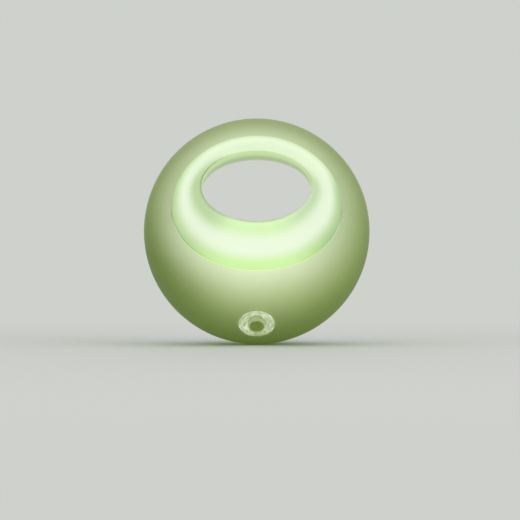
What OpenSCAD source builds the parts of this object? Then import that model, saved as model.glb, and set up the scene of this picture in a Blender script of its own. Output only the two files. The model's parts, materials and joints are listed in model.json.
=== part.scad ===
// Plug-in night light: a translucent ball with a glowing ring set in a wide mouth, a hole right
// through its upper half, a clear light sensor low on the front, and a two-pin plug at the back.
// The front faces -Y, the wall is at +Y, up is +Z. The origin is the middle of the plug's face.

/* [Ball] */
// Diameter of the ball
ball_d = 76; // [74:1:80]
// Wall of the two ball shells
shell_t = 1.8; // [1.4:0.1:2.2]
// From the ball's centre back to its flat back
back_d = 19; // [18:0.5:20]
// Thickness of the flat back
back_t = 2.2; // [1.8:0.1:2.6]
// From the ball's centre back to the joint between the two shells
split_d = 5; // [4:0.5:6]
// Height of the ball's centre above the middle of the plug
ball_rise = 19; // [18:0.5:20]
// How far the rear shell's spigot enters the front shell
spigot_l = 3; // [2:0.5:4]
// Wall of the spigot
spigot_t = 1.6; // [1.2:0.1:2]
// Gap around pieces that slip together
fit_gap = 0.15; // [0.1:0.05:0.25]

/* [Mouth and light ring] */
// Width of the mouth that the light ring fills
mouth_w = 56; // [54:0.4:58]
// Height of the mouth, square to its axis
mouth_h = 46.4; // [45:0.2:47.4]
// Tilt of the mouth's axis above level
mouth_tilt = 18; // [15:1:20]
// Depth of the skirt behind the mouth's edge
skirt_l = 2.5; // [1.5:0.25:3]
// Wall of the skirt
skirt_t = 1.2; // [0.8:0.1:1.4]
// Width of the ring's narrow end
throat_w = 37; // [35:0.2:38]
// Height of the ring's narrow end
throat_h = 23.6; // [21:0.2:24]
// Height of the narrow end's middle above the ball's centre
throat_rise = 15.1; // [14.5:0.1:15.6]
// From the ball's centre forward to the narrow end
throat_d = 8.4; // [6.4:0.5:9.4]
// Wall of the light ring
ring_t = 1.6; // [1.2:0.1:2]
// Depth of the ring's edge in the mouth
rim_t = 2.2; // [1.8:0.1:2.6]
// Length of the ring's straight end, which sits in the collar
land_l = 3; // [2:0.25:4]

/* [Rear collar] */
// Width of the hole where it is narrowest
crest_w = 36.6; // [34:0.2:37]
// Height of the hole where it is narrowest
crest_h = 20.8; // [19:0.2:21.4]
// From the light ring's end back to the narrowest place
crest_l = 6; // [4:0.5:8]
// Width of the hole at the flat back
exit_w = 41; // [39:0.5:43]
// Height of the hole at the flat back
exit_h = 24; // [22:0.2:25]
// Height of the hole's middle at the flat back, above the ball's centre
exit_rise = 14; // [13.4:0.1:15]
// Wall of the collar
collar_t = 1.4; // [1:0.1:1.8]

/* [Light sensor] */
// Diameter of the clear lens
lens_d = 12; // [11:0.2:12.6]
// Width of the bezel ring around the lens
bezel_w = 0.95; // [0.75:0.05:1.15]
// Angle of the lens's place below level, seen from the ball's centre
sensor_dip = 54.4; // [53:0.2:56]
// Tilt of the lens's axis below level
sensor_tilt = 16; // [12:1:20]
// Length of the lens and its bezel, behind the middle of its face
lens_l = 8.5; // [8:0.25:9.5]
// Diameter of the light pipe behind the lens
pipe_d = 5.2; // [4.6:0.2:5.6]
// Length of the light pipe
pipe_l = 3; // [2:0.25:4]
// Wall of the moulded boss that holds the lens
lens_boss_t = 1.2; // [1:0.1:1.5]
// Diameter of the photocell
cell_d = 5; // [4.5:0.1:5.2]
// Thickness of the photocell
cell_t = 2; // [1.6:0.1:2.4]
// Wall of the dark sleeve around the photocell
shroud_t = 1.1; // [0.8:0.1:1.4]
// Distance between the photocell's two leads
cell_pitch = 2.6; // [2:0.1:3]

/* [Plug] */
// Width of the plug body
plug_w = 35.3; // [33:0.1:35.5]
// Height of the plug body
plug_h = 13.7; // [12:0.1:13.8]
// Width of the plug body's flat top
plug_flat_w = 26.1; // [22:0.1:27]
// How far the plug body stands out of the flat back
neck_l = 17; // [15:0.5:20]
// Distance between the pins
pin_pitch = 18.6; // [17.5:0.1:19]
// Diameter of the pins' bare ends
pin_d = 4; // [3.9:0.05:4.1]
// How far the pins stand out of the plug
pin_l = 19; // [18:0.5:20]
// Length of the sleeve on each pin
sleeve_l = 10; // [9:0.25:10.5]
// Diameter of the sleeve
sleeve_d = 3.6; // [3.5:0.05:3.8]
// How far the sleeve reaches into the plug body
sleeve_seat = 1.5; // [1:0.25:2.5]
// Diameter of the pin inside its sleeve
core_d = 2.8; // [2.4:0.1:3]
// Diameter of the pin's shoulder inside the plug
shoulder_d = 5.6; // [5:0.1:6]
// Thickness of the pin's shoulder
shoulder_t = 1.5; // [1:0.1:2]
// Diameter of the pin's solder tail
tail_d = 2; // [1.6:0.1:2.2]
// Length of the chamfer on the pin's tip
pin_tip = 1; // [0.6:0.1:1.4]
// How far the plug body's ears reach past its sides
ear_w = 2; // [1.5:0.25:2.5]
// Thickness of the ears
ear_t = 2; // [1.5:0.1:2.2]
// Height of the ears
ear_h = 9; // [7:0.5:11]

/* [Boards] */
// Thickness of the main board
board_t = 1.6; // [1.2:0.1:1.8]
// Width of the main board
board_w = 42; // [40:0.5:43]
// Height of the main board's top edge below the ball's centre
board_top = 3.5; // [3:0.25:4]
// Gap from the main board's bottom edge down to the ball's wall
board_low_gap = 7.2; // [6.5:0.1:8]
// Gap from the main board to the pins' shoulders
board_gap = 3.2; // [2.6:0.1:3.6]
// Thickness of the light board
led_board_t = 1.2; // [0.8:0.1:1.6]
// Height of the light board's straight edge below the ball's centre
led_board_low = 5.2; // [5:0.1:5.6]
// Number of light-emitting diodes around the ring
led_count = 12; // [8:2:14]
// Length of one light-emitting diode
led_w = 3.5; // [3:0.1:3.6]
// Width of one light-emitting diode
led_h = 2.8; // [2.4:0.1:3]
// Thickness of one light-emitting diode
led_t = 1.5; // [1:0.1:1.9]
// Thickness of the white reflector sheet
reflector_t = 0.5; // [0.4:0.1:0.8]

/* [Screws] */
// Distance between the two case screws
case_pitch = 50; // [49:0.5:51]
// Height of the case screws below the ball's centre
case_drop = 11.5; // [11:0.5:12.5]
// Diameter of the case screws' shafts
case_screw_d = 2.3; // [2:0.1:2.5]
// Diameter of the case screws' heads
case_head_d = 5.2; // [4.6:0.1:5.4]
// Thickness of the case screws' heads
case_head_t = 1.8; // [1.4:0.1:2]
// Length of the case screws under the head
case_screw_l = 19; // [16:0.5:21]
// Depth of the counterbores in the flat back
counterbore_l = 3; // [2.5:0.25:4]
// Distance between the two board screws
board_pitch = 33; // [32:0.5:33.5]
// Height of the board screws below the ball's centre
board_drop = 7; // [6.8:0.1:7.4]
// Diameter of the board screws' shafts
board_screw_d = 1.9; // [1.6:0.1:2.2]
// Diameter of the board screws' heads
board_head_d = 4; // [3.6:0.1:4.4]
// Thickness of the board screws' heads
board_head_t = 1.4; // [1:0.1:1.6]
// Wall of plastic around a screw
post_t = 1.6; // [1.3:0.1:1.8]

/* [Parts on the main board] */
// Dropper capacitor: width, depth off the board and thickness
dropper_size = [13, 12, 6]; // [5:0.5:14]
// Diameter of the smoothing capacitor
smoother_d = 8; // [6.3:0.1:8.4]
// Height of the smoothing capacitor
smoother_l = 11; // [9:0.5:12]
// Bridge rectifier: width, depth off the board and height
bridge_size = [8.3, 3.2, 6.4]; // [3:0.1:9]
// Diameter of the fuse resistor
fuse_d = 3.2; // [2.6:0.1:3.4]
// Length of the fuse resistor's body
fuse_l = 8; // [6:0.5:9]
// Diameter of the resistors
resistor_d = 2; // [1.6:0.1:2.2]
// Length of a resistor's body
resistor_l = 5; // [4:0.25:5.5]
// Diameter of the Zener diode
zener_d = 1.8; // [1.6:0.1:2]
// Length of the Zener diode's body
zener_l = 4; // [3.5:0.25:4.5]
// Diameter of the transistor's round back
transistor_d = 4.6; // [4:0.1:4.8]
// Height of the transistor's body
transistor_l = 4.6; // [4:0.1:5]
// Diameter of the wire leads
lead_d = 0.6; // [0.5:0.05:0.7]
// Diameter of the insulated wires to the light board
wire_d = 1.2; // [1:0.1:1.4]

/* [Hidden] */
$fn = 72;

// Overrun of every cut
over = 0.5;
// Running clearance of a metal part in its bore
slip = 0.05;
// Sides around the light ring and the collar, and steps along their curves
around = 60;
bend_steps = 7;
// Sides of a wire
wire_sides = 8;

ball_r = ball_d / 2;
inner_r = ball_r - shell_t;
ball_y = -(neck_l + back_d);
spigot_r = sqrt(pow(inner_r, 2) - pow(split_d, 2)) - fit_gap;
spigot_root = 5;
back_in = back_d - back_t;
// The mouth's bar starts here, measured from the ball's centre along the mouth's axis
mouth_side = max(mouth_w, mouth_h) / 2 + fit_gap + skirt_t;
mouth_low = sqrt(max(0, pow(inner_r - skirt_l, 2) - pow(mouth_side, 2))) - over;
// Outer half-sizes of the collar's two ends
socket_grow = ring_t + fit_gap;
collar_grow = socket_grow + collar_t;
collar_front = -throat_d + land_l / 5;
crest_y = -throat_d + land_l + fit_gap;
crest_rise = throat_rise - throat_h / 2 + crest_h / 2;
// The sensor's place and bore
lens_r = lens_d / 2;
bore_r = lens_r + bezel_w + 2 * slip;
pipe_r = pipe_d / 2;
shroud_gap = slip;
shroud_l = pipe_l + cell_t + 2 * shroud_t;
cell_back = lens_l + pipe_l + shroud_gap + cell_t;
// Depths measured back from the ball's centre, and the board's bottom edge below it
board_bottom = inner_r - board_low_gap;
ear_y = back_in - ear_t;
board_back = ear_y - board_gap;
board_front = board_back - board_t;
led_board_back = split_d - spigot_l;
led_board_front = led_board_back - led_board_t;
case_seat = back_d - counterbore_l;
case_boss_r = case_head_d / 2 + post_t;
case_post_r = case_screw_d / 2 + 1.2 * post_t;
board_post_r = board_screw_d / 2 + post_t;
board_r = spigot_r - spigot_t - 1.5 * fit_gap - board_t / 2;
led_gap = led_h / 2 + reflector_t;
tail_out = board_t / 2;

function on_axis(x, u, h) = [
    x,
    u * sin(mouth_tilt) - h * cos(mouth_tilt),
    u * cos(mouth_tilt) + h * sin(mouth_tilt)
];

// A point of the mouth's edge on the ball, or the same point sunk along the mouth's axis
function mouth_point(angle, sink) =
    let (x = mouth_w / 2 * cos(angle))
    let (u = mouth_h / 2 * sin(angle))
    on_axis(x, u, sqrt(pow(ball_r, 2) - x * x - u * u) - sink);

function oval_point(angle, w, h, y, rise, grow) =
    [(w / 2 + grow) * cos(angle), y, rise + (h / 2 + grow) * sin(angle)];

function throat_point(angle, y, grow) = oval_point(angle, throat_w, throat_h, y, throat_rise, grow);
function crest_point(angle, y) = oval_point(angle, crest_w, crest_h, y, crest_rise, 0);
function exit_point(angle, y, grow) = oval_point(angle, exit_w, exit_h, y, exit_rise, grow);

// The collar's outside at a depth: half its width, half its height, and its middle's height
function collar_oval(y) =
    let (share = (y - collar_front) / (back_in - fit_gap - collar_front))
    let (front = [throat_w / 2 + collar_grow, throat_h / 2 + collar_grow, throat_rise])
    let (back = [exit_w / 2 + collar_t, exit_h / 2 + collar_t, exit_rise])
    front + share * (back - front);

// The hole that the collar needs in the light board and its reflector
function collar_room() =
    let (front = collar_oval(led_board_front - led_t))
    let (back = collar_oval(led_board_back))
    [max(front[0], back[0]) + fit_gap, max(front[1], back[1]) + fit_gap, (front[2] + back[2]) / 2];

// A quarter turn from a, where it runs inwards, to b, where it runs back
function turn_in(a, b, turn) = [
    a[0] + (b[0] - a[0]) * sin(turn),
    a[1] + (b[1] - a[1]) * (1 - cos(turn)),
    a[2] + (b[2] - a[2]) * sin(turn)
];

// A quarter turn from a, where it runs back, to b, where it has flared out
function flare_out(a, b, turn) = [
    a[0] + (b[0] - a[0]) * (1 - cos(turn)),
    a[1] + (b[1] - a[1]) * sin(turn),
    a[2] + (b[2] - a[2]) * (1 - cos(turn))
];

// Closed skin over loops of equal length, joined in order and the last to the first
module skin(loops) {
    n = len(loops[0]);
    m = len(loops);
    points = [for (loop = loops) each loop];
    faces = [
        for (i = [0:m - 1]) for (j = [0:n - 1])
            let (k = (i + 1) % m)
            let (l = (j + 1) % n)
            each [[i * n + j, k * n + j, k * n + l], [i * n + j, k * n + l, i * n + l]]
    ];
    polyhedron(points = points, faces = faces);
}

// Round wire through [y, z] places in the plane at x, with flat ends
module wire(path, x, d) {
    n = len(path);
    ways = [
        for (i = [0:n - 1])
            let (a = path[max(i - 1, 0)])
            let (b = path[min(i + 1, n - 1)])
            (b - a) / norm(b - a)
    ];
    points = [
        for (i = [0:n - 1]) for (j = [0:wire_sides - 1])
            let (angle = 360 * j / wire_sides)
            let (side = d / 2 * sin(angle))
            [x + d / 2 * cos(angle), path[i][0] - side * ways[i][1], path[i][1] + side * ways[i][0]]
    ];
    sides = [
        for (i = [0:n - 2]) for (j = [0:wire_sides - 1])
            let (l = (j + 1) % wire_sides)
            let (a = i * wire_sides)
            let (b = a + wire_sides)
            each [[a + j, a + l, b + l], [a + j, b + l, b + j]]
    ];
    first = [for (j = [wire_sides - 1:-1:0]) j];
    last = [for (j = [0:wire_sides - 1]) (n - 1) * wire_sides + j];
    polyhedron(points = points, faces = concat([first], sides, [last]));
}

module in_ball() {
    translate([0, ball_y, ball_rise]) children();
}

// Oval outline of the mouth, seen along its axis
module mouth_outline(grow) {
    polygon([
        for (j = [0:around - 1])
            let (angle = 360 * j / around)
            [(mouth_w / 2 + grow) * cos(angle), (mouth_h / 2 + grow) * sin(angle)]
    ]);
}

// Bar with the mouth's outline along its axis, from mouth_low outwards
module mouth_bar(grow) {
    rotate([90 - mouth_tilt, 0, 0])
        translate([0, 0, mouth_low])
            linear_extrude(ball_d) mouth_outline(grow);
}

// Sphere around the ball's centre, with its poles at the front and the back
module globe(r) {
    rotate([-90, 0, 0]) sphere(r = r);
}

// Everything between two depths, seen from the ball's centre
module slab(from, to) {
    translate([-ball_d, from, -ball_d]) cube([2 * ball_d, to - from, 2 * ball_d]);
}

// Children stand on the sensor's place, with +Z out of the ball along the lens's axis
module at_sensor() {
    translate([0, -ball_r * cos(sensor_dip), -ball_r * sin(sensor_dip)])
        rotate([90 + sensor_tilt, 0, 0])
            children();
}

// Rod of radius r along the depth, between two depths
module rod(r, from, to) {
    translate([0, from, 0]) rotate([-90, 0, 0]) cylinder(r = r, h = to - from);
}

module at_case_screws() {
    for (side = [-1, 1]) translate([side * case_pitch / 2, 0, -case_drop]) children();
}

module at_board_screws() {
    for (side = [-1, 1]) translate([side * board_pitch / 2, 0, -board_drop]) children();
}

module oval_rod(w, h, rise, grow, from, to) {
    translate([0, from, rise])
        rotate([-90, 0, 0])
            scale([1, (h / 2 + grow) / (w / 2 + grow), 1])
                cylinder(r = w / 2 + grow, h = to - from);
}

module plug_outline(grow) {
    x = plug_w / 2 + grow;
    f = plug_flat_w / 2 + grow / 2;
    z = plug_h / 2 + grow;
    polygon([[-x, 0], [-f, z], [f, z], [x, 0], [f, -z], [-f, -z]]);
}

module plug_bar(grow, from, to) {
    translate([0, to, -ball_rise]) rotate([90, 0, 0]) linear_extrude(to - from) plug_outline(grow);
}

// Sub-parts

module front_shell() {
    color([0.72, 0.83, 0.47]) in_ball() difference() {
        union() {
            difference() {
                globe(ball_r);
                globe(inner_r);
            }
            difference() {
                intersection() {
                    mouth_bar(fit_gap + skirt_t);
                    globe(ball_r - shell_t / 2);
                }
                globe(inner_r - skirt_l);
            }
            intersection() {
                at_case_screws() rod(case_post_r, -ball_r, split_d);
                globe(ball_r - shell_t / 2);
            }
            intersection() {
                at_sensor() translate([0, 0, -lens_l]) cylinder(r = bore_r + lens_boss_t, h = 2 * lens_l);
                globe(ball_r - shell_t / 2);
            }
        }
        mouth_bar(fit_gap);
        slab(split_d, 2 * ball_d);
        at_sensor() translate([0, 0, -lens_l - over]) cylinder(r = bore_r, h = 3 * lens_l);
        at_case_screws() rod(case_screw_d / 2 + slip, case_seat - case_screw_l - over, split_d + over);
    }
}

module rear_shell() {
    color([0.70, 0.81, 0.45]) in_ball() difference() {
        union() {
            difference() {
                intersection() {
                    globe(ball_r);
                    slab(split_d, back_d);
                }
                intersection() {
                    globe(inner_r);
                    slab(0, back_in);
                }
            }
            difference() {
                rod(spigot_r, led_board_back, split_d + spigot_root);
                rod(spigot_r - spigot_t, led_board_back - over, split_d + spigot_root + over);
            }
            at_case_screws() rod(case_boss_r, split_d, back_d - back_t / 2);
            at_board_screws() rod(board_post_r, board_back, back_d - back_t / 2);
        }
        oval_rod(exit_w, exit_h, exit_rise, collar_t + fit_gap, back_in - over, back_d + over);
        plug_bar(fit_gap, back_in - over, back_d + over);
        at_case_screws() rod(case_screw_d / 2 + fit_gap, split_d - over, back_d);
        at_case_screws() rod(case_head_d / 2 + fit_gap, case_seat, back_d + over);
        at_board_screws() rod(board_screw_d / 2 + slip, board_back - over, back_in - slip);
    }
}

module light_ring() {
    angles = [for (j = [0:around - 1]) 360 * j / around];
    face = [
        for (i = [0:bend_steps]) [
            for (angle = angles)
                turn_in(mouth_point(angle, 0), throat_point(angle, -throat_d, 0), 90 * i / bend_steps)
        ]
    ];
    back = [
        for (i = [bend_steps:-1:0]) [
            for (angle = angles)
                turn_in(mouth_point(angle, rim_t), throat_point(angle, -throat_d, ring_t),
                    90 * i / bend_steps)
        ]
    ];
    land = [
        [for (angle = angles) throat_point(angle, land_l - throat_d, 0)],
        [for (angle = angles) throat_point(angle, land_l - throat_d, ring_t)]
    ];
    color([0.90, 0.98, 0.82]) in_ball() skin(concat(face, land, back));
}

module rear_collar() {
    angles = [for (j = [0:around - 1]) 360 * j / around];
    lip = [
        for (i = [0:bend_steps - 2]) [
            for (angle = angles)
                turn_in(throat_point(angle, crest_y, 0), crest_point(angle, crest_y + crest_l),
                    90 * i / (bend_steps - 2))
        ]
    ];
    flare = [
        for (i = [1:bend_steps - 3]) [
            for (angle = angles)
                flare_out(crest_point(angle, crest_y + crest_l), exit_point(angle, back_d, 0),
                    90 * i / (bend_steps - 3))
        ]
    ];
    outside = [
        [for (angle = angles) exit_point(angle, back_d, collar_t)],
        [for (angle = angles) exit_point(angle, back_in - fit_gap, collar_t)],
        [for (angle = angles) throat_point(angle, collar_front, collar_grow)],
        [for (angle = angles) throat_point(angle, collar_front, socket_grow)],
        [for (angle = angles) throat_point(angle, crest_y, socket_grow)]
    ];
    color([0.62, 0.75, 0.42]) in_ball() skin(concat(lip, flare, outside));
}

module sensor_lens() {
    color([0.85, 0.92, 0.78, 0.7]) in_ball() union() {
        intersection() {
            at_sensor() translate([0, 0, -lens_l]) cylinder(r = lens_r, h = 3 * lens_l);
            globe(ball_r);
        }
        at_sensor() translate([0, 0, -lens_l - pipe_l]) cylinder(r = pipe_r, h = pipe_l + lens_l / 2);
    }
}

module sensor_bezel() {
    color([0.62, 0.75, 0.38]) in_ball() intersection() {
        at_sensor() translate([0, 0, -lens_l]) difference() {
            cylinder(r = lens_r + slip + bezel_w, h = 3 * lens_l);
            translate([0, 0, -over]) cylinder(r = lens_r + slip, h = 4 * lens_l);
        }
        globe(ball_r);
    }
}

module cell_shroud() {
    color([0.10, 0.10, 0.11]) in_ball() at_sensor()
        translate([0, 0, -lens_l - slip - shroud_l]) difference() {
            cylinder(r = pipe_r + slip + shroud_t, h = shroud_l);
            translate([0, 0, -over]) cylinder(r = pipe_r + slip, h = shroud_l + 2 * over);
        }
}

module photocell() {
    color([0.80, 0.42, 0.20]) in_ball() at_sensor()
        translate([0, 0, -cell_back]) cylinder(r = cell_d / 2, h = cell_t);
}

module cell_leads() {
    // The middle of the photocell's back, as [y, z]
    back = [
        -ball_r * cos(sensor_dip) + cell_back * cos(sensor_tilt),
        -ball_r * sin(sensor_dip) + cell_back * sin(sensor_tilt)
    ];
    bend = back + cell_t * [cos(sensor_tilt), sin(sensor_tilt)];
    color([0.75, 0.75, 0.77]) in_ball() for (side = [-1, 1])
        wire([back, bend, [board_front, bend[1]], [board_back + tail_out, bend[1]]],
            side * cell_pitch / 2, lead_d);
}

// Disc with the hole for the collar and a straight lower edge, seen from behind with +Y down
module annulus(r) {
    room = collar_room();
    difference() {
        circle(r = r);
        translate([0, -room[2]]) scale([1, room[1] / room[0]]) circle(r = room[0]);
        translate([-ball_d, led_board_low]) square([2 * ball_d, ball_d]);
    }
}

// Children stand at each light-emitting diode, with +Y backwards
module at_leds() {
    room = collar_room();
    for (i = [0:led_count - 1]) {
        angle = 360 * (i + 0.5) / led_count;
        place = oval_point(angle, 2 * room[0], 2 * room[1], led_board_front, room[2], led_gap);
        translate(place) rotate([0, 90 - angle, 0]) children();
    }
}

module led_board() {
    color([0.86, 0.87, 0.83]) in_ball() difference() {
        translate([0, led_board_front, 0]) rotate([-90, 0, 0]) linear_extrude(led_board_t)
            annulus(spigot_r);
        for (side = [-1, 1]) translate([side * wire_d, 0, -led_board_low + wire_d])
            rod(wire_d / 2 + slip, led_board_front - over, led_board_back + over);
    }
}

module leds() {
    color([0.96, 0.96, 0.80]) in_ball() at_leds() difference() {
        translate([-led_w / 2, -led_t, -led_h / 2]) cube([led_w, led_t, led_h]);
        rod(led_h / 3, -led_t - over, -led_t * 3 / 4);
    }
}

module reflector() {
    color([0.95, 0.96, 0.94]) in_ball() difference() {
        translate([0, led_board_front - reflector_t, 0]) rotate([-90, 0, 0])
            linear_extrude(reflector_t) annulus(spigot_r - spigot_t / 4);
        at_leds() translate([-led_w / 2 - fit_gap, -reflector_t - over, -led_h / 2 - fit_gap])
            cube([led_w + 2 * fit_gap, reflector_t + 2 * over, led_h + 2 * fit_gap]);
        translate([-2 * wire_d, led_board_front - reflector_t - over, -led_board_low - over])
            cube([4 * wire_d, reflector_t + 2 * over, 2.5 * wire_d + over]);
    }
}

module led_wires() {
    z = -led_board_low + wire_d;
    color([0.80, 0.15, 0.12]) in_ball() for (side = [-1, 1])
        wire([[led_board_front - reflector_t, z], [led_board_back + wire_d, z],
            [board_front - 2 * wire_d, z - wire_d], [board_back + tail_out, z - wire_d]],
            side * wire_d, wire_d);
}

module main_board() {
    color([0.16, 0.42, 0.22]) in_ball() difference() {
        intersection() {
            translate([-board_w / 2, board_front, -board_bottom])
                cube([board_w, board_t, board_bottom - board_top]);
            rod(board_r, board_front - over, board_back + over);
        }
        at_board_screws() rod(board_screw_d / 2 + fit_gap, board_front - over, board_back + over);
        for (side = [-1, 1]) {
            translate([side * pin_pitch / 2, 0, -ball_rise])
                rod(tail_d / 2 + slip, board_front - over, board_back + over);
            translate([side * wire_d, 0, -led_board_low])
                rod(wire_d / 2 + slip, board_front - over, board_back + over);
            translate([side * cell_pitch / 2, 0, cell_lead_z])
                rod(lead_d / 2 + slip, board_front - over, board_back + over);
        }
    }
}

// Height of the photocell's leads where they meet the main board
cell_lead_z = -ball_r * sin(sensor_dip) + (cell_back + cell_t) * sin(sensor_tilt);

// Places on the main board, as shares of its half width and of its height below its top edge
dropper_share = [-0.25, 0.30];
smoother_share = [0.42, 0.28];
bridge_share = [0, 0.72];
fuse_share = [0.08, 0.51];
transistor_share = [-0.72, 0.68];
zener_share = [0.78, 0.68];
resistor_shares = [[-0.72, 0.42], [-0.86, 0.42], [0.76, 0.42], [0.90, 0.42]];

// Children stand on the main board's front, with -Y off the board
module on_board(share) {
    translate([
        share[0] * board_w / 2,
        board_front,
        -board_top - share[1] * (board_bottom - board_top)
    ]) children();
}

// Axial part along X or, when upright, along Z: a body on two bent leads that end in the board
module axial(d, l, upright) {
    lift = lead_d + d / 2;
    foot = l / 2 + 2 * lead_d;
    rotate([0, upright ? 90 : 0, 0]) {
        translate([-l / 2, -lift, 0]) rotate([0, 90, 0]) cylinder(d = d, h = l);
        for (side = [-1, 1]) {
            translate([side > 0 ? l / 2 - lead_d : -foot - lead_d / 2, -lift, 0])
                rotate([0, 90, 0]) cylinder(d = lead_d, h = foot + lead_d * 3 / 2 - l / 2);
            translate([side * foot, 0, 0]) rod(lead_d / 2, -lift, 0);
        }
    }
}

module dropper_capacitor() {
    color([0.85, 0.66, 0.15]) in_ball() on_board(dropper_share)
        translate([-dropper_size[0] / 2, -dropper_size[1], -dropper_size[2] / 2]) cube(dropper_size);
}

module smoothing_capacitor() {
    color([0.12, 0.14, 0.22]) in_ball() on_board(smoother_share) difference() {
        rod(smoother_d / 2, -smoother_l, 0);
        rotate([-90, 0, 0]) translate([0, 0, -smoother_l + lead_d]) rotate_extrude()
            translate([smoother_d / 2, 0]) circle(d = lead_d, $fn = 16);
    }
}

module bridge_rectifier() {
    color([0.09, 0.09, 0.10]) in_ball() on_board(bridge_share)
        translate([-bridge_size[0] / 2, -bridge_size[1], -bridge_size[2] / 2]) cube(bridge_size);
}

module fuse_resistor() {
    color([0.55, 0.70, 0.62]) in_ball() on_board(fuse_share) axial(fuse_d, fuse_l, false);
}

module resistors() {
    color([0.78, 0.66, 0.48]) in_ball() for (share = resistor_shares)
        on_board(share) axial(resistor_d, resistor_l, true);
}

module zener_diode() {
    color([0.70, 0.25, 0.15]) in_ball() on_board(zener_share) axial(zener_d, zener_l, true);
}

module control_transistor() {
    color([0.08, 0.08, 0.09]) in_ball() on_board(transistor_share) union() {
        difference() {
            rod(transistor_d / 2, -transistor_l - 3 * lead_d, -3 * lead_d);
            translate([-transistor_d, -2 * transistor_l, transistor_d / 4])
                cube([2 * transistor_d, 3 * transistor_l, transistor_d]);
        }
        for (i = [-1, 0, 1]) translate([i * 2 * lead_d, 0, 0]) rod(lead_d / 2, -4 * lead_d, 0);
    }
}

module plug_body() {
    color([0.72, 0.83, 0.50]) difference() {
        union() {
            in_ball() plug_bar(0, ear_y, back_d + neck_l);
            in_ball() translate([-plug_w / 2 - ear_w, ear_y, -ball_rise - ear_h / 2])
                cube([plug_w + 2 * ear_w, ear_t - slip, ear_h]);
        }
        for (side = [-1, 1]) translate([side * pin_pitch / 2, 0, 0]) {
            rod(core_d / 2 + slip, ear_y - back_d - neck_l - over, over);
            rod(shoulder_d / 2 + slip, ear_y - back_d - neck_l - over, ear_y - back_d - neck_l + shoulder_t);
            rod(sleeve_d / 2 + slip, -sleeve_seat, over);
        }
    }
}

// One turned pin along the depth, from its solder tail to its chamfered tip
module pin() {
    root = ear_y - back_d - neck_l;
    tail = ball_y + board_front - tail_out;
    rotate([-90, 0, 0]) rotate_extrude() polygon([
        [0, tail],
        [tail_d / 2, tail],
        [tail_d / 2, root],
        [shoulder_d / 2, root],
        [shoulder_d / 2, root + shoulder_t],
        [core_d / 2, root + shoulder_t],
        [core_d / 2, sleeve_l],
        [pin_d / 2, sleeve_l],
        [pin_d / 2, pin_l - pin_tip],
        [pin_d / 2 - pin_tip, pin_l],
        [0, pin_l]
    ]);
}

module sleeve() {
    difference() {
        rod(sleeve_d / 2, -sleeve_seat, sleeve_l);
        rod(core_d / 2 + slip, -sleeve_seat - over, sleeve_l + over);
    }
}

module live_pin() {
    color([0.80, 0.78, 0.72]) translate([-pin_pitch / 2, 0, 0]) pin();
}

module neutral_pin() {
    color([0.80, 0.78, 0.72]) translate([pin_pitch / 2, 0, 0]) pin();
}

module live_sleeve() {
    color([0.72, 0.83, 0.50]) translate([-pin_pitch / 2, 0, 0]) sleeve();
}

module neutral_sleeve() {
    color([0.72, 0.83, 0.50]) translate([pin_pitch / 2, 0, 0]) sleeve();
}

// Screw along the depth with its head at the seat, pointing forwards when way is -1
module screw(d, head_d, head_t, l, way) {
    difference() {
        union() {
            rod(head_d / 2, way < 0 ? 0 : -head_t, way < 0 ? head_t : 0);
            rod(d / 2, way < 0 ? -l : -head_t / 2, way < 0 ? head_t / 2 : l);
        }
        for (turn = [0, 90])
            translate([0, -way * (head_t + over / 2), 0])
                rotate([0, turn, 0])
                    cube([head_d * 0.6, head_t + over, head_d / 8], center = true);
    }
}

module case_screws() {
    color([0.62, 0.62, 0.64]) in_ball() at_case_screws() translate([0, case_seat, 0])
        screw(case_screw_d, case_head_d, case_head_t, case_screw_l, -1);
}

module board_screws() {
    color([0.70, 0.70, 0.72]) in_ball() at_board_screws() translate([0, board_front, 0])
        screw(board_screw_d, board_head_d, board_head_t, back_in - over - board_front, 1);
}

front_shell();
rear_shell();
light_ring();
rear_collar();
sensor_lens();
sensor_bezel();
cell_shroud();
photocell();
cell_leads();
led_board();
leds();
reflector();
led_wires();
main_board();
dropper_capacitor();
smoothing_capacitor();
bridge_rectifier();
fuse_resistor();
resistors();
zener_diode();
control_transistor();
plug_body();
live_pin();
neutral_pin();
live_sleeve();
neutral_sleeve();
case_screws();
board_screws();
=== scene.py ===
"""Looks of the plug-in night light: a green ball with a glowing ring, a light sensor and a plug.

Lengths in the classes are millimetres, as in the part's own source; meshes are made in metres in
the row frame. The ball's curves repeat the formulas of that source, so each piece lies where its
solid does.
"""

from __future__ import annotations

import json
import logging
import math
from dataclasses import dataclass
from enum import Enum
from typing import Callable, Iterable, Sequence

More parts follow.
